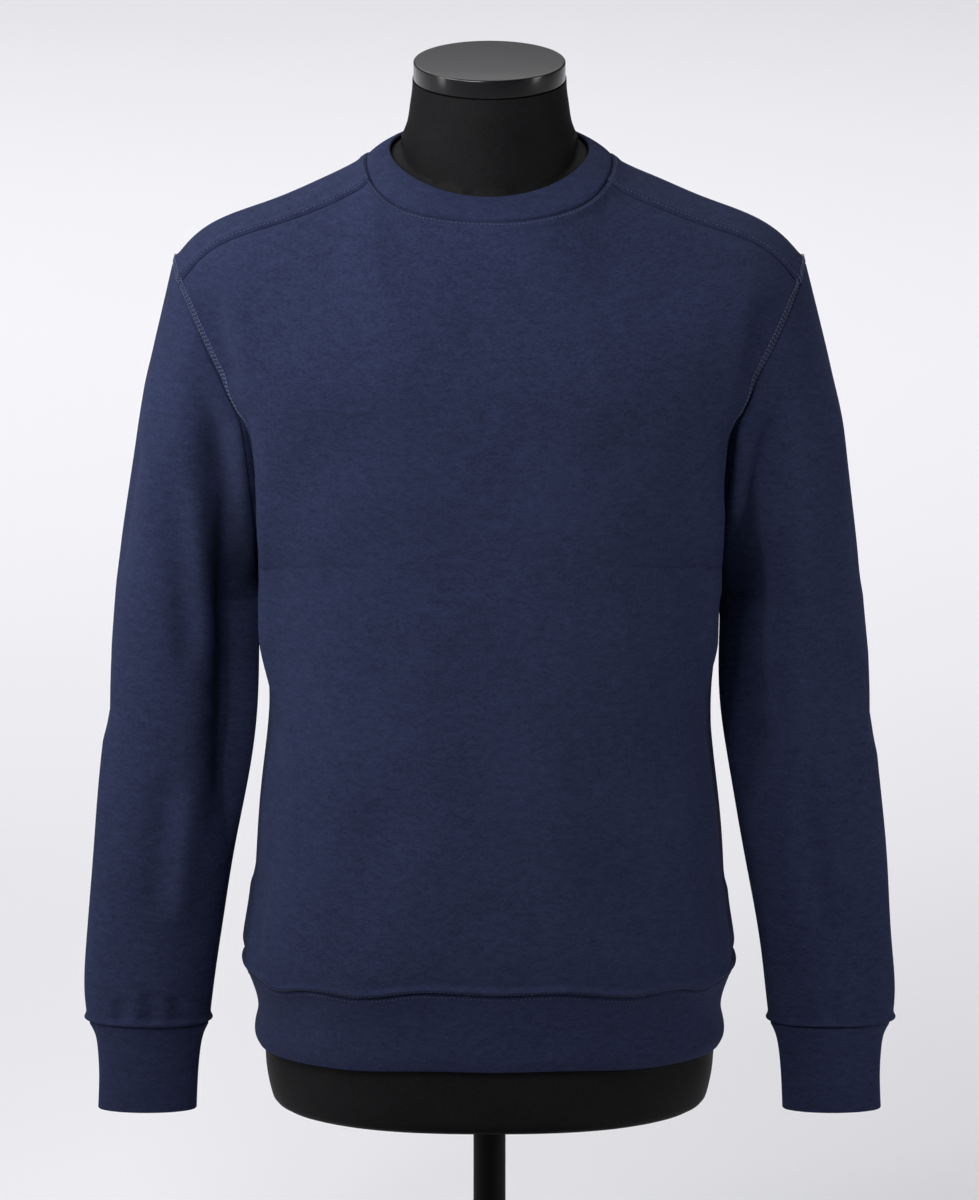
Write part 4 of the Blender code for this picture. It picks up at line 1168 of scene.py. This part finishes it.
# ---------------------------------------------------------------- stitching
def stitch_tree(material):
    """Stitches laid along a path: two rows of needle thread and the looper thread that crosses."""
    tree = bpy.data.node_groups.new("coverstitch", "GeometryNodeTree")
    face = tree.interface
    face.new_socket("Geometry", in_out="INPUT", socket_type="NodeSocketGeometry")
    for name, value in (
        ("Stitch Length", 0.0032), ("Stitch Gap", 0.0007), ("Row Spacing", 0.005), ("Thread Width", 0.0007),
        ("Crossing", 1.0), ("Lean", 0.6), ("Offset", 0.0), ("Lift", 0.0002),
    ):
        face.new_socket(name, in_out="INPUT", socket_type="NodeSocketFloat").default_value = value
    face.new_socket("Geometry", in_out="OUTPUT", socket_type="NodeSocketGeometry")
    nodes, links = tree.nodes, tree.links
    given = nodes.new("NodeGroupInput").outputs
    result = nodes.new("NodeGroupOutput")

    def make(kind, **properties):
        made = nodes.new(kind)
        for key, value in properties.items():
            setattr(made, key, value)
        return made

    def maths(operation, a, b):
        made = make("ShaderNodeMath", operation=operation)
        for socket, value in zip(made.inputs, (a, b)):
            if isinstance(value, (int, float)):
                socket.default_value = value
            else:
                links.new(value, socket)
        return made.outputs[0]

    def direction(name):
        made = make("GeometryNodeInputNamedAttribute", data_type="FLOAT_VECTOR")
        made.inputs["Name"].default_value = name
        return made.outputs["Attribute"]

    def scaled(vector, amount):
        made = make("ShaderNodeVectorMath", operation="SCALE")
        links.new(vector, made.inputs[0])
        links.new(amount, made.inputs["Scale"])
        return made.outputs[0]

    def added(a, b):
        made = make("ShaderNodeVectorMath", operation="ADD")
        links.new(a, made.inputs[0])
        links.new(b, made.inputs[1])
        return made.outputs[0]

    curve = make("GeometryNodeMeshToCurve")
    links.new(given["Geometry"], curve.inputs["Mesh"])
    spaced = make("GeometryNodeResampleCurve", mode="LENGTH")
    links.new(curve.outputs["Curve"], spaced.inputs["Curve"])
    links.new(given["Stitch Length"], spaced.inputs["Length"])
    dots = make("GeometryNodeCurveToPoints", mode="EVALUATED")
    links.new(spaced.outputs["Curve"], dots.inputs["Curve"])
    bead = make("GeometryNodeMeshUVSphere")
    bead.inputs["Segments"].default_value = 8
    bead.inputs["Rings"].default_value = 5
    bead.inputs["Radius"].default_value = 0.5
    tangent = dots.outputs["Tangent"]
    out = direction("out")
    side = direction("side")
    gather = make("GeometryNodeJoinGeometry")

    def row(offset, length, width, lean):
        moved = make("GeometryNodeSetPosition")
        links.new(dots.outputs["Points"], moved.inputs["Geometry"])
        links.new(added(scaled(side, offset), scaled(out, given["Lift"])), moved.inputs["Offset"])
        towards = make("FunctionNodeAlignRotationToVector", axis="X")
        ahead = tangent if lean is None else added(tangent, scaled(side, lean))
        links.new(ahead, towards.inputs["Vector"])
        upright = make("FunctionNodeAlignRotationToVector", axis="Z", pivot_axis="X")
        links.new(towards.outputs[0], upright.inputs["Rotation"])
        links.new(out, upright.inputs["Vector"])
        size = make("ShaderNodeCombineXYZ")
        links.new(length, size.inputs["X"])
        links.new(width, size.inputs["Y"])
        links.new(width, size.inputs["Z"])
        copies = make("GeometryNodeInstanceOnPoints")
        links.new(moved.outputs["Geometry"], copies.inputs["Points"])
        links.new(bead.outputs["Mesh"], copies.inputs["Instance"])
        links.new(upright.outputs[0], copies.inputs["Rotation"])
        links.new(size.outputs[0], copies.inputs["Scale"])
        links.new(copies.outputs["Instances"], gather.inputs["Geometry"])
        return copies

    half = maths("MULTIPLY", given["Row Spacing"], 0.5)
    bead_length = maths("SUBTRACT", given["Stitch Length"], given["Stitch Gap"])
    row(maths("ADD", given["Offset"], half), bead_length, given["Thread Width"], None)
    row(maths("SUBTRACT", given["Offset"], half), bead_length, given["Thread Width"], None)
    bar_length = maths("MULTIPLY", maths("MULTIPLY", given["Row Spacing"], 1.15), given["Crossing"])
    bar_width = maths("MULTIPLY", maths("MULTIPLY", given["Thread Width"], 0.8), given["Crossing"])
    row(given["Offset"], bar_length, bar_width, maths("MULTIPLY", given["Lean"], 3.0))
    whole = make("GeometryNodeRealizeInstances")
    links.new(gather.outputs[0], whole.inputs["Geometry"])
    finish = make("GeometryNodeSetMaterial")
    finish.inputs["Material"].default_value = material
    links.new(whole.outputs[0], finish.inputs["Geometry"])
    links.new(finish.outputs[0], result.inputs[0])
    return tree


def on_surface(line, surfaces):
    """The line's points laid on the finished surfaces, and the outward direction at each."""
    points = np.concatenate([s.points for s in surfaces])
    normals = np.concatenate([s.normals() for s in surfaces])
    tree = KDTree(len(points))
    for i, p in enumerate(points):
        tree.insert(p, i)
    tree.balance()
    placed, outs = [], []
    for p in line:
        found = tree.find_n(p, 4)
        weights = np.array([1 / (f[2] + 1e-4) for f in found])
        out = unit(sum(w * normals[f[1]] for w, f in zip(weights, found)))
        nearest = sum(w * points[f[1]] for w, f in zip(weights, found)) / weights.sum()
        placed.append(p + out * float((nearest - p) @ out))
        outs.append(out)
    return np.array(placed), np.array(outs)


def offset_line(line, surfaces, shift):
    """The seam's line moved sideways over the surfaces, with its directions out and side."""
    placed, outs = on_surface(line, surfaces)
    run = np.gradient(placed, axis=0)
    side = np.cross(outs, run)
    side /= np.linalg.norm(side, axis=1)[:, None]
    placed, outs = on_surface(placed + side * shift, surfaces)
    run = np.gradient(placed, axis=0)
    side = np.cross(outs, run)
    side /= np.linalg.norm(side, axis=1)[:, None]
    return placed, outs, side


def stitch_seam(name, line, surfaces, shift, tree, settings):
    """One seam's stitching as a plain mesh. settings are the tree's inputs by name."""
    placed, outs, side = offset_line(dense(line, 0.002), surfaces, shift)
    mesh = bpy.data.meshes.new(name)
    mesh.from_pydata(placed.tolist(), [(i, i + 1) for i in range(len(placed) - 1)], [])
    for key, values in (("out", outs), ("side", side)):
        layer = mesh.attributes.new(key, "FLOAT_VECTOR", "POINT")
        layer.data.foreach_set("vector", values.reshape(-1))
    path = bpy.data.objects.new(name + "_path", mesh)
    bpy.context.scene.collection.objects.link(path)
    modifier = path.modifiers.new("stitches", "NODES")
    modifier.node_group = tree
    for item in tree.interface.items_tree:
        if item.in_out == "INPUT" and item.name in settings:
            modifier[item.identifier] = settings[item.name]
    graph = bpy.context.evaluated_depsgraph_get()
    made = bpy.data.meshes.new_from_object(path.evaluated_get(graph))
    made.name = name
    path.modifiers.remove(modifier)
    bpy.data.objects.remove(path)
    made.shade_smooth()
    piece = bpy.data.objects.new(name, made)
    bpy.context.scene.collection.objects.link(piece)
    return piece


# ---------------------------------------------------------------- the dress form
def shoulder_limit(x, y):
    """The highest that the form may be under the shoulders at x, y."""
    side, share, turn = surface_over(abs(x), y)
    here = arch_point(side, share, turn)
    along = arch_point(side, min(1.0, share + 0.01), turn) - arch_point(side, max(0.0, share - 0.01), turn)
    above = arch_point(side, share, min(turn + 0.01, math.pi / 2))
    up = above - arch_point(side, share, max(0.0, turn - 0.01))
    normal = np.cross(along, up)
    steep = max(0.25, abs(normal[2]) / np.linalg.norm(normal))
    return here[2] - (CLOTH + FORM_CLEAR) / steep


def reach_at(z, angle, sections):
    """How far a section at this height reaches from the middle, at this plan angle."""
    half_width, front, back, squareness = [float(c(z)) for c in sections]
    depth = front if math.cos(angle) > 0 else back
    wide = abs(math.sin(angle)) / half_width
    deep = abs(math.cos(angle)) / depth
    return (wide**squareness + deep**squareness) ** (-1 / squareness)


def under_collar(angle):
    """(reach, z) of the form below the collar's seam and below its free edge, at this plan angle."""
    side, ahead = abs(math.sin(angle)), math.cos(angle)
    seam = (NECK_FRONT if ahead > 0 else NECK_BACK, COLLAR_FRONT if ahead > 0 else COLLAR_BACK)
    wide, deep = side / NECK_HALF_WIDTH, abs(ahead) / seam[0]
    seam_reach = (wide**NECK_SQUARENESS + deep**NECK_SQUARENESS) ** (-1 / NECK_SQUARENESS)
    edge_reach = 1 / math.hypot(side / COLLAR_HALF_WIDTH, ahead / seam[1])
    seam_z = arch_point(*surface_over(seam_reach * side, -seam_reach * ahead))[2]
    edge_z = collar_edge(math.atan2(side / COLLAR_HALF_WIDTH, ahead / seam[1]))[2]
    slope = (edge_z - seam_z) / math.hypot(edge_z - seam_z, seam_reach - edge_reach)
    inside = (BAND_CLOTH + COLLAR_CLEAR) / slope
    return seam_reach - inside, seam_z, edge_reach - inside, edge_z


def form_reach(z, angle, torso, neck, collar):
    """How far the form reaches from the middle at this height and plan angle."""
    seam_reach, seam_z, edge_reach, edge_z = collar
    if z > edge_z:
        return min(edge_reach, reach_at(z, angle, neck))
    if z > seam_z:
        return seam_reach + (edge_reach - seam_reach) * (z - seam_z) / (edge_z - seam_z)
    if z < CHEST_SIDE_Z:
        return reach_at(z, angle, torso)
    low, high = 0.0, reach_at(z, angle, torso)
    for _ in range(13):
        middle = (low + high) / 2
        if shoulder_limit(middle * math.sin(angle), -middle * math.cos(angle)) > z:
            low = middle
        else:
            high = middle
    return low


def form_points():
    """The form's rings as a grid, each round from the front by the left."""
    torso = columns_of(FORM_SECTIONS)
    neck = columns_of([(*row, 2.1) for row in NECK_SECTIONS])
    heights = [0.198, 0.1985, 0.200, 0.202, 0.205, 0.208, 0.211, 0.215, 0.220, 0.226, 0.233, 0.242]
    heights += list(np.arange(0.255, 0.75, 0.025)) + [0.765, 0.785, 0.805, 0.820, 0.835, 0.850]
    heights += [0.862, 0.872, 0.880, 0.888, 0.895, 0.902, 0.909, 0.915, 0.921, 0.927, 0.933]
    heights += list(np.arange(0.936, 0.9745, 0.0015)) + list(np.arange(0.976, 1.003, 0.004))
    half = FORM_SEGMENTS // 2
    angles = [math.pi * k / half for k in range(half + 1)]
    collars = [under_collar(angle) for angle in angles]
    grid = []
    for z in heights + [NECK_TOP_Z]:
        ring = []
        for angle, collar in zip(angles, collars):
            reach = form_reach(z, angle, torso, neck, collar)
            y = -reach * math.cos(angle)
            lean = math.tan(CAP_TILT) * (y - CAP_Y) * np.clip((z - 0.985) / (NECK_TOP_Z - 0.985), 0, 1)
            ring.append((reach * math.sin(angle), y, z + lean))
        ring = np.array(ring)
        grid.append(np.concatenate([ring, ring[-2:0:-1] * [-1, 1, 1]]))
    return np.array(grid)


def capped(name, grid, made_of):
    """A closed piece from rings, with both ends filled."""
    rows, columns = grid.shape[:2]
    faces = [tuple(face) for face in grid_faces(rows, columns, True).tolist()]
    points = grid.reshape(-1, 3).tolist()
    for first, order in ((0, 1), ((rows - 1) * columns, -1)):
        middle = len(points)
        points.append(np.mean(grid[0 if order > 0 else -1], axis=0).tolist())
        for k in range(columns):
            a, b = first + k, first + (k + 1) % columns
            faces.append((middle, b, a) if order > 0 else (middle, a, b))
    mesh = bpy.data.meshes.new(name)
    mesh.from_pydata(points, [], faces)
    mesh.materials.append(made_of)
    mesh.shade_smooth()
    mesh.set_sharp_from_angle(angle=math.radians(40))
    piece = bpy.data.objects.new(name, mesh)
    bpy.context.scene.collection.objects.link(piece)
    return piece


def turned(name, profile, segments, made_of):
    """A piece turned about the Z axis from (radius, z) points, from the bottom up."""
    angles = np.linspace(0, 2 * math.pi, segments, endpoint=False)
    grid = np.array([[(r * math.cos(a), r * math.sin(a), z) for a in angles] for r, z in profile])
    return capped(name, grid, made_of)


def rounded_profile(low, high, radius, lip):
    """(radius, z) points of a disc with rounded edges."""
    corner = [math.radians(a) for a in (0, 15, 30, 45, 60, 75, 90)]
    under = [(radius - lip + lip * math.sin(a), low + lip - lip * math.cos(a)) for a in corner]
    over = [(radius - lip + lip * math.cos(a), high - lip + lip * math.sin(a)) for a in corner]
    return under + over


# ---------------------------------------------------------------- settings
def colour_property(name, description, default):
    return bpy.props.FloatVectorProperty(
        name=name, description=description, subtype="COLOR", size=4, min=0, max=1, default=default
    )


def length_property(name, description, default):
    return bpy.props.FloatProperty(
        name=name,
        description=description,
        default=default,
        min=0,
        subtype="DISTANCE",
        unit="LENGTH",
        precision=5,
    )


class SweatshirtSettings(bpy.types.PropertyGroup):
    """Sizes and colours of the sweatshirt."""

    fleece: colour_property("Fleece", "Colour of the body and sleeves", (0.0252, 0.0328, 0.0765, 1.0))
    trim: colour_property("Trim", "Colour of the collar, cuffs and hem band", (0.0242, 0.0314, 0.0735, 1.0))
    thread: colour_property("Thread", "Colour of the stitching", (0.068, 0.088, 0.160, 1.0))
    fold_strength: bpy.props.FloatProperty(
        name="Folds", description="How deep the folds are, 1 as worn",
        default=1.0, min=0, max=2, subtype="FACTOR"
    )
    loop_width: length_property("Loop width", "Width of a knitted loop", 0.0011)
    loop_height: length_property("Loop height", "Height of a knitted loop", 0.0009)
    stitch_length: length_property("Stitch length", "From one stitch to the next", 0.0032)
    stitch_rows: length_property("Row spacing", "Between the two rows of the coverstitch", 0.0046)
    thread_width: length_property("Thread width", "Thickness of the sewing thread", 0.0007)


class FormSettings(bpy.types.PropertyGroup):
    """Colours of the dress form and its stand."""

    cover: colour_property("Cover", "Colour of the form's fabric cover", (0.0088, 0.0085, 0.0092, 1.0))
    cap_side: colour_property("Cap side", "Colour of the neck cap's rim", (0.006, 0.006, 0.007, 1.0))
    cap_top: colour_property("Cap top", "Colour of the neck cap's top", (0.046, 0.045, 0.048, 1.0))
    stand: colour_property("Stand", "Colour of the pole and plate", (0.004, 0.004, 0.004, 1.0))


class StudioSettings(bpy.types.PropertyGroup):
    """The floor and the lights."""

    floor: colour_property("Floor", "Colour of the floor", (0.86, 0.86, 0.89, 1.0))
    key: bpy.props.FloatProperty(
        name="Key lights", description="Brightness of the lights on the front",
        default=1.0, min=0, subtype="FACTOR"
    )
    backdrop: bpy.props.FloatProperty(
        name="Backdrop", description="Brightness of the light on the floor behind",
        default=1.0, min=0, subtype="FACTOR"
    )
    surround: bpy.props.FloatProperty(
        name="Surround", description="Strength of the light from all round",
        default=0.02, min=0, subtype="FACTOR"
    )


def free_edge_of(name):
    """A test for whether a point of this piece's edge is a free, folded edge."""
    if name == "hem_band":
        return lambda p: p[2] < HEM_SEAM_Z - 0.02
    if name.startswith("cuff"):
        return lambda p: p[2] < CUFF_SEAM_Z - 0.02
    if name == "collar":
        return lambda p: math.hypot(p[0] / COLLAR_HALF_WIDTH, p[1] / COLLAR_HALF_DEPTH) < 1.05
    return lambda p: False


def cloth_piece(name, slot, made_of, thickness, strength):
    pieces, _ = garment(strength)
    surface = pieces[name]
    others = {}
    for other, second in pieces.items():
        if other == name:
            continue
        mine = set(keys_of(surface.points))
        for key, normal in zip(keys_of(second.points), second.normals()):
            if key in mine:
                others[key] = unit(others[key] + normal) if key in others else normal
    points, faces, flat = wall(surface, others, thickness, free_edge_of(name))
    return place(mesh_object("cloth_" + name, points, faces, flat, made_of), slot, name)


def shared_material(name, make, *args):
    return bpy.data.materials.get(name) or make(name, *args)


# How high the loops stand, in metres, and how far the colour varies either way.
FLEECE_RELIEF, FLEECE_STREAK = 0.00011, 0.46
TRIM_RELIEF, TRIM_STREAK = 0.00012, 0.42


def fleece_of(settings):
    return shared_material(
        "navy_fleece",
        knit_material,
        settings.fleece,
        settings.loop_width,
        settings.loop_height,
        FLEECE_RELIEF,
        FLEECE_STREAK,
    )


def trim_of(settings):
    return shared_material(
        "navy_trim",
        knit_material,
        settings.trim,
        settings.loop_width * 0.9,
        settings.loop_height,
        TRIM_RELIEF,
        TRIM_STREAK,
    )


class SWEATSHIRT_OT_body(bpy.types.Operator):
    """Makes the front and back panels"""

    bl_idname = "sweatshirt.body"
    bl_label = "Body"

    def execute(self, context):
        settings = context.scene.sweatshirt
        for name in ("front", "back"):
            cloth_piece(name, "fleece", fleece_of(settings), CLOTH, settings.fold_strength)
        return {"FINISHED"}


class SWEATSHIRT_OT_sleeves(bpy.types.Operator):
    """Makes the two sleeves"""

    bl_idname = "sweatshirt.sleeves"
    bl_label = "Sleeves"

    def execute(self, context):
        settings = context.scene.sweatshirt
        for name in ("sleeve_left", "sleeve_right"):
            cloth_piece(name, "fleece", fleece_of(settings), CLOTH, settings.fold_strength)
        return {"FINISHED"}


class SWEATSHIRT_OT_bands(bpy.types.Operator):
    """Makes the collar, the cuffs and the hem band"""

    bl_idname = "sweatshirt.bands"
    bl_label = "Collar, cuffs and hem band"

    def execute(self, context):
        settings = context.scene.sweatshirt
        for name in ("collar", "hem_band", "cuff_left", "cuff_right"):
            cloth_piece(name, "rib", trim_of(settings), BAND_CLOTH, settings.fold_strength)
        return {"FINISHED"}


class SWEATSHIRT_OT_stitching(bpy.types.Operator):
    """Sews the seams"""

    bl_idname = "sweatshirt.stitching"
    bl_label = "Stitching"

    def execute(self, context):
        settings = context.scene.sweatshirt
        pieces, lines = garment(settings.fold_strength)
        thread = shared_material("seam_thread", thread_material, settings.thread)
        tree = stitch_tree(thread)
        body = [pieces["front"], pieces["back"]]
        twin = {
            "Stitch Length": settings.stitch_length,
            "Row Spacing": settings.stitch_rows,
            "Thread Width": settings.thread_width,
            "Crossing": 0.0,
        }
        ladder = dict(twin, Crossing=1.0, Lean=0.5)
        single = dict(twin)
        single["Row Spacing"] = 0.0
        cord = dict(single)
        cord["Thread Width"] = 2.0 * settings.thread_width
        cord["Stitch Gap"] = 0.0002
        flipped = [-1, 1, 1]
        seams = (
            # name, line, surfaces, distance from the seam, settings
            ("stitch_armhole_left", lines["armhole"], body, 0.0036, ladder),
            ("stitch_armhole_right", lines["armhole"] * flipped, body, -0.0036, ladder),
            ("stitch_shoulder_left", lines["shoulder"], body, 0.0034, single),
            ("stitch_shoulder_right", lines["shoulder"] * flipped, body, -0.0034, single),
            ("stitch_collar", lines["neck"], body, -0.0034, single),
            ("stitch_hem", lines["hem"], [pieces["hem_band"]], -0.0040, single),
            ("stitch_hem_edge", lines["hem"], body, 0.0034, cord),
            ("stitch_cuff_left", lines["cuff"], [pieces["cuff_left"]], 0.0036, single),
            ("stitch_cuff_right", lines["cuff"] * flipped, [pieces["cuff_right"]], -0.0036, single),
        )
        for name, line, surfaces, shift, inputs in seams:
            place(stitch_seam(name, line, surfaces, shift, tree, inputs), "rib")
        return {"FINISHED"}


class SWEATSHIRT_OT_declare(bpy.types.Operator):
    """Does nothing: it states no cut sizes"""

    bl_idname = "sweatshirt.declare"
    bl_label = "State the cuts"

    def execute(self, context):
        return {"FINISHED"}


class SWEATSHIRT_OT_form(bpy.types.Operator):
    """Makes the limbless dress form"""

    bl_idname = "sweatshirt.form"
    bl_label = "Dress form"

    def execute(self, context):
        cover = cover_material("form_cover", context.scene.dress_form.cover)
        place(capped("form_body", form_points(), cover), "form_cover", "form_torso")
        return {"FINISHED"}


class SWEATSHIRT_OT_cap(bpy.types.Operator):
    """Makes the neck cap"""

    bl_idname = "sweatshirt.cap"
    bl_label = "Neck cap"

    def execute(self, context):
        settings = context.scene.dress_form
        side = painted_material("cap_lacquer", settings.cap_side, 0.30, 0.45, 900.0, 0.00001)
        top = painted_material("cap_top", settings.cap_top, 0.42, 0.1, 1200.0, 0.00005)
        cap = turned("neck_cap", rounded_profile(0.0, CAP_THICKNESS, CAP_RADIUS, 0.0016), 128, side)
        cap.data.materials.append(top)
        for polygon in cap.data.polygons:
            corners = [cap.data.vertices[i].co for i in polygon.vertices]
            if min(p.z for p in corners) > CAP_THICKNESS - REST_GAP:
                polygon.material_index = 1
        lean = np.array([[math.cos(CAP_TILT), -math.sin(CAP_TILT)], [math.sin(CAP_TILT), math.cos(CAP_TILT)]])
        for vertex in cap.data.vertices:
            y, z = lean @ np.array([vertex.co.y, vertex.co.z])
            vertex.co.y = y + CAP_Y
            vertex.co.z = z + NECK_TOP_Z + REST_GAP
        place(cap, "cap", "form_neck_cap")
        return {"FINISHED"}


class SWEATSHIRT_OT_stand(bpy.types.Operator):
    """Makes the pole and the plate"""

    bl_idname = "sweatshirt.stand"
    bl_label = "Stand"

    def execute(self, context):
        paint = painted_material("stand_paint", context.scene.dress_form.stand, 0.55, 0.0, 900.0, 0.00006)
        along = rounded_profile(PLATE_THICKNESS + REST_GAP, FORM_BOTTOM_Z - REST_GAP, POLE_RADIUS, 0.0006)
        pole = turned("pole", along, 64, paint)
        place(pole, "stand", "stand_pole")
        plate = turned("plate", rounded_profile(0.0, PLATE_THICKNESS, PLATE_RADIUS, 0.0025), 160, paint)
        place(plate, "stand", "stand_base")
        return {"FINISHED"}


# ---------------------------------------------------------------- the studio
CAMERA_DISTANCE = 10.0
CAMERA_ELEVATION = math.radians(12.5)
CAMERA_AIM = Vector((0.0, 0.0, 0.5975))
FRAME_WIDTH = 0.753         # width that the picture takes in at the form, in metres


LIGHTS = (
    # name, group, place, aim, width, height, power in watts, spread in degrees
    ("key_side", "key", (-1.60, -1.20, 1.75), (0.0, 0.0, 0.92), 1.0, 1.2, 2.9, 92),
    ("key_high", "key", (-1.30, -0.50, 1.90), (0.0, 0.0, 0.86), 0.8, 0.8, 4.2, 100),
    ("key_front", "key", (-0.55, -1.15, 1.50), (0.0, 0.0, 0.92), 0.6, 0.6, 3.8, 90),
    ("fill_left", "key", (-1.90, -0.45, 0.70), (-0.28, 0.0, 0.52), 0.4, 0.9, 0.9, 50),
    ("fill_right", "key", (1.90, -0.50, 0.80), (0.28, 0.0, 0.52), 0.4, 0.9, 1.2, 50),
    ("backdrop", "backdrop", (-1.50, 4.10, 4.60), (-1.50, 4.10, 0.0), 10.0, 6.4, 355.0, 150),
)


def area_light(name, place_at, aim, width, height, watts, spread):
    data = bpy.data.lights.new(name, "AREA")
    data.shape = "RECTANGLE"
    data.size = width
    data.size_y = height
    data.energy = watts
    data.color = (1.0, 0.995, 1.0)
    data.spread = math.radians(spread)
    light = bpy.data.objects.new(name, data)
    light.location = place_at
    light.rotation_euler = (Vector(aim) - Vector(place_at)).to_track_quat("-Z", "Y").to_euler()
    bpy.context.scene.collection.objects.link(light)


class SWEATSHIRT_OT_studio(bpy.types.Operator):
    """Makes the floor, the lights and the camera"""

    bl_idname = "sweatshirt.studio"
    bl_label = "Studio"

    def execute(self, context):
        settings = context.scene.studio
        scene = context.scene
        floor_paint, tree, shader = new_material("floor_paper")
        place_on = tree.nodes.new("ShaderNodeTexCoord").outputs["Object"]
        grain = node(tree, "ShaderNodeTexNoise", Scale=3.0, Detail=2.0)
        tree.links.new(place_on, grain.inputs["Vector"])
        ramp = tree.nodes.new("ShaderNodeValToRGB")
        ramp.color_ramp.elements[0].color = shaded(settings.floor, 0.985)
        ramp.color_ramp.elements[1].color = settings.floor
        tree.links.new(grain.outputs["Fac"], ramp.inputs[0])
        tree.links.new(ramp.outputs[0], shader.inputs["Base Color"])
        shader.inputs["Roughness"].default_value = 0.9
        shader.inputs["Specular IOR Level"].default_value = 0.1
        mesh = bpy.data.meshes.new("floor")
        mesh.from_pydata([(-9, -8, 0), (9, -8, 0), (9, 12, 0), (-9, 12, 0)], [], [(0, 1, 2, 3)])
        mesh.materials.append(floor_paint)
        floor = bpy.data.objects.new("floor", mesh)
        scene.collection.objects.link(floor)

        world = bpy.data.worlds.new("surround")
        world.use_nodes = True
        background = world.node_tree.nodes["Background"]
        background.inputs["Color"].default_value = (0.96, 0.97, 1.0, 1.0)
        background.inputs["Strength"].default_value = settings.surround
        scene.world = world

        share = {"key": settings.key, "backdrop": settings.backdrop}
        for name, group, place_at, aim, width, height, watts, spread in LIGHTS:
            area_light(name, place_at, aim, width, height, watts * share[group], spread)

        data = bpy.data.cameras.new("camera")
        data.sensor_fit = "HORIZONTAL"
        data.sensor_width = 36.0
        data.lens = data.sensor_width * CAMERA_DISTANCE / FRAME_WIDTH
        data.clip_end = 100.0
        camera = bpy.data.objects.new("camera", data)
        away = Vector((0.0, -math.cos(CAMERA_ELEVATION), math.sin(CAMERA_ELEVATION)))
        camera.location = CAMERA_AIM + away * CAMERA_DISTANCE
        camera.rotation_euler = (-away).to_track_quat("-Z", "Y").to_euler()
        scene.collection.objects.link(camera)
        scene.camera = camera
        scene.view_settings.view_transform = "Standard"
        return {"FINISHED"}


OPERATORS = (
    SWEATSHIRT_OT_body,
    SWEATSHIRT_OT_sleeves,
    SWEATSHIRT_OT_bands,
    SWEATSHIRT_OT_stitching,
    SWEATSHIRT_OT_declare,
    SWEATSHIRT_OT_form,
    SWEATSHIRT_OT_cap,
    SWEATSHIRT_OT_stand,
    SWEATSHIRT_OT_studio,
)


class SWEATSHIRT_PT_panel(bpy.types.Panel):
    """Lists the sizes, the colours and the pieces"""

    bl_idname = "SWEATSHIRT_PT_panel"
    bl_label = "Sweatshirt"
    bl_space_type = "VIEW_3D"
    bl_region_type = "UI"
    bl_category = "Sweatshirt"

    def draw(self, context):
        layout = self.layout
        for group in (context.scene.sweatshirt, context.scene.dress_form, context.scene.studio):
            box = layout.box()
            for name in group.__annotations__:
                box.prop(group, name)
        for operator in OPERATORS:
            layout.operator(operator.bl_idname)


SETTINGS = (("sweatshirt", SweatshirtSettings), ("dress_form", FormSettings), ("studio", StudioSettings))


def register():
    for _, group in SETTINGS:
        bpy.utils.register_class(group)
    for name, group in SETTINGS:
        setattr(bpy.types.Scene, name, bpy.props.PointerProperty(type=group))
    for made in (*OPERATORS, SWEATSHIRT_PT_panel):
        bpy.utils.register_class(made)


def unregister():
    for made in (SWEATSHIRT_PT_panel, *reversed(OPERATORS)):
        bpy.utils.unregister_class(made)
    for name, group in reversed(SETTINGS):
        delattr(bpy.types.Scene, name)
        bpy.utils.unregister_class(group)


def main():
    register()
    bpy.ops.sweatshirt.studio()
    bpy.ops.sweatshirt.body()
    bpy.ops.sweatshirt.sleeves()
    bpy.ops.sweatshirt.bands()
    bpy.ops.sweatshirt.stitching()
    bpy.ops.sweatshirt.form()
    bpy.ops.sweatshirt.cap()
    bpy.ops.sweatshirt.stand()
    bpy.ops.sweatshirt.declare()


if __name__ == "__main__":
    main()
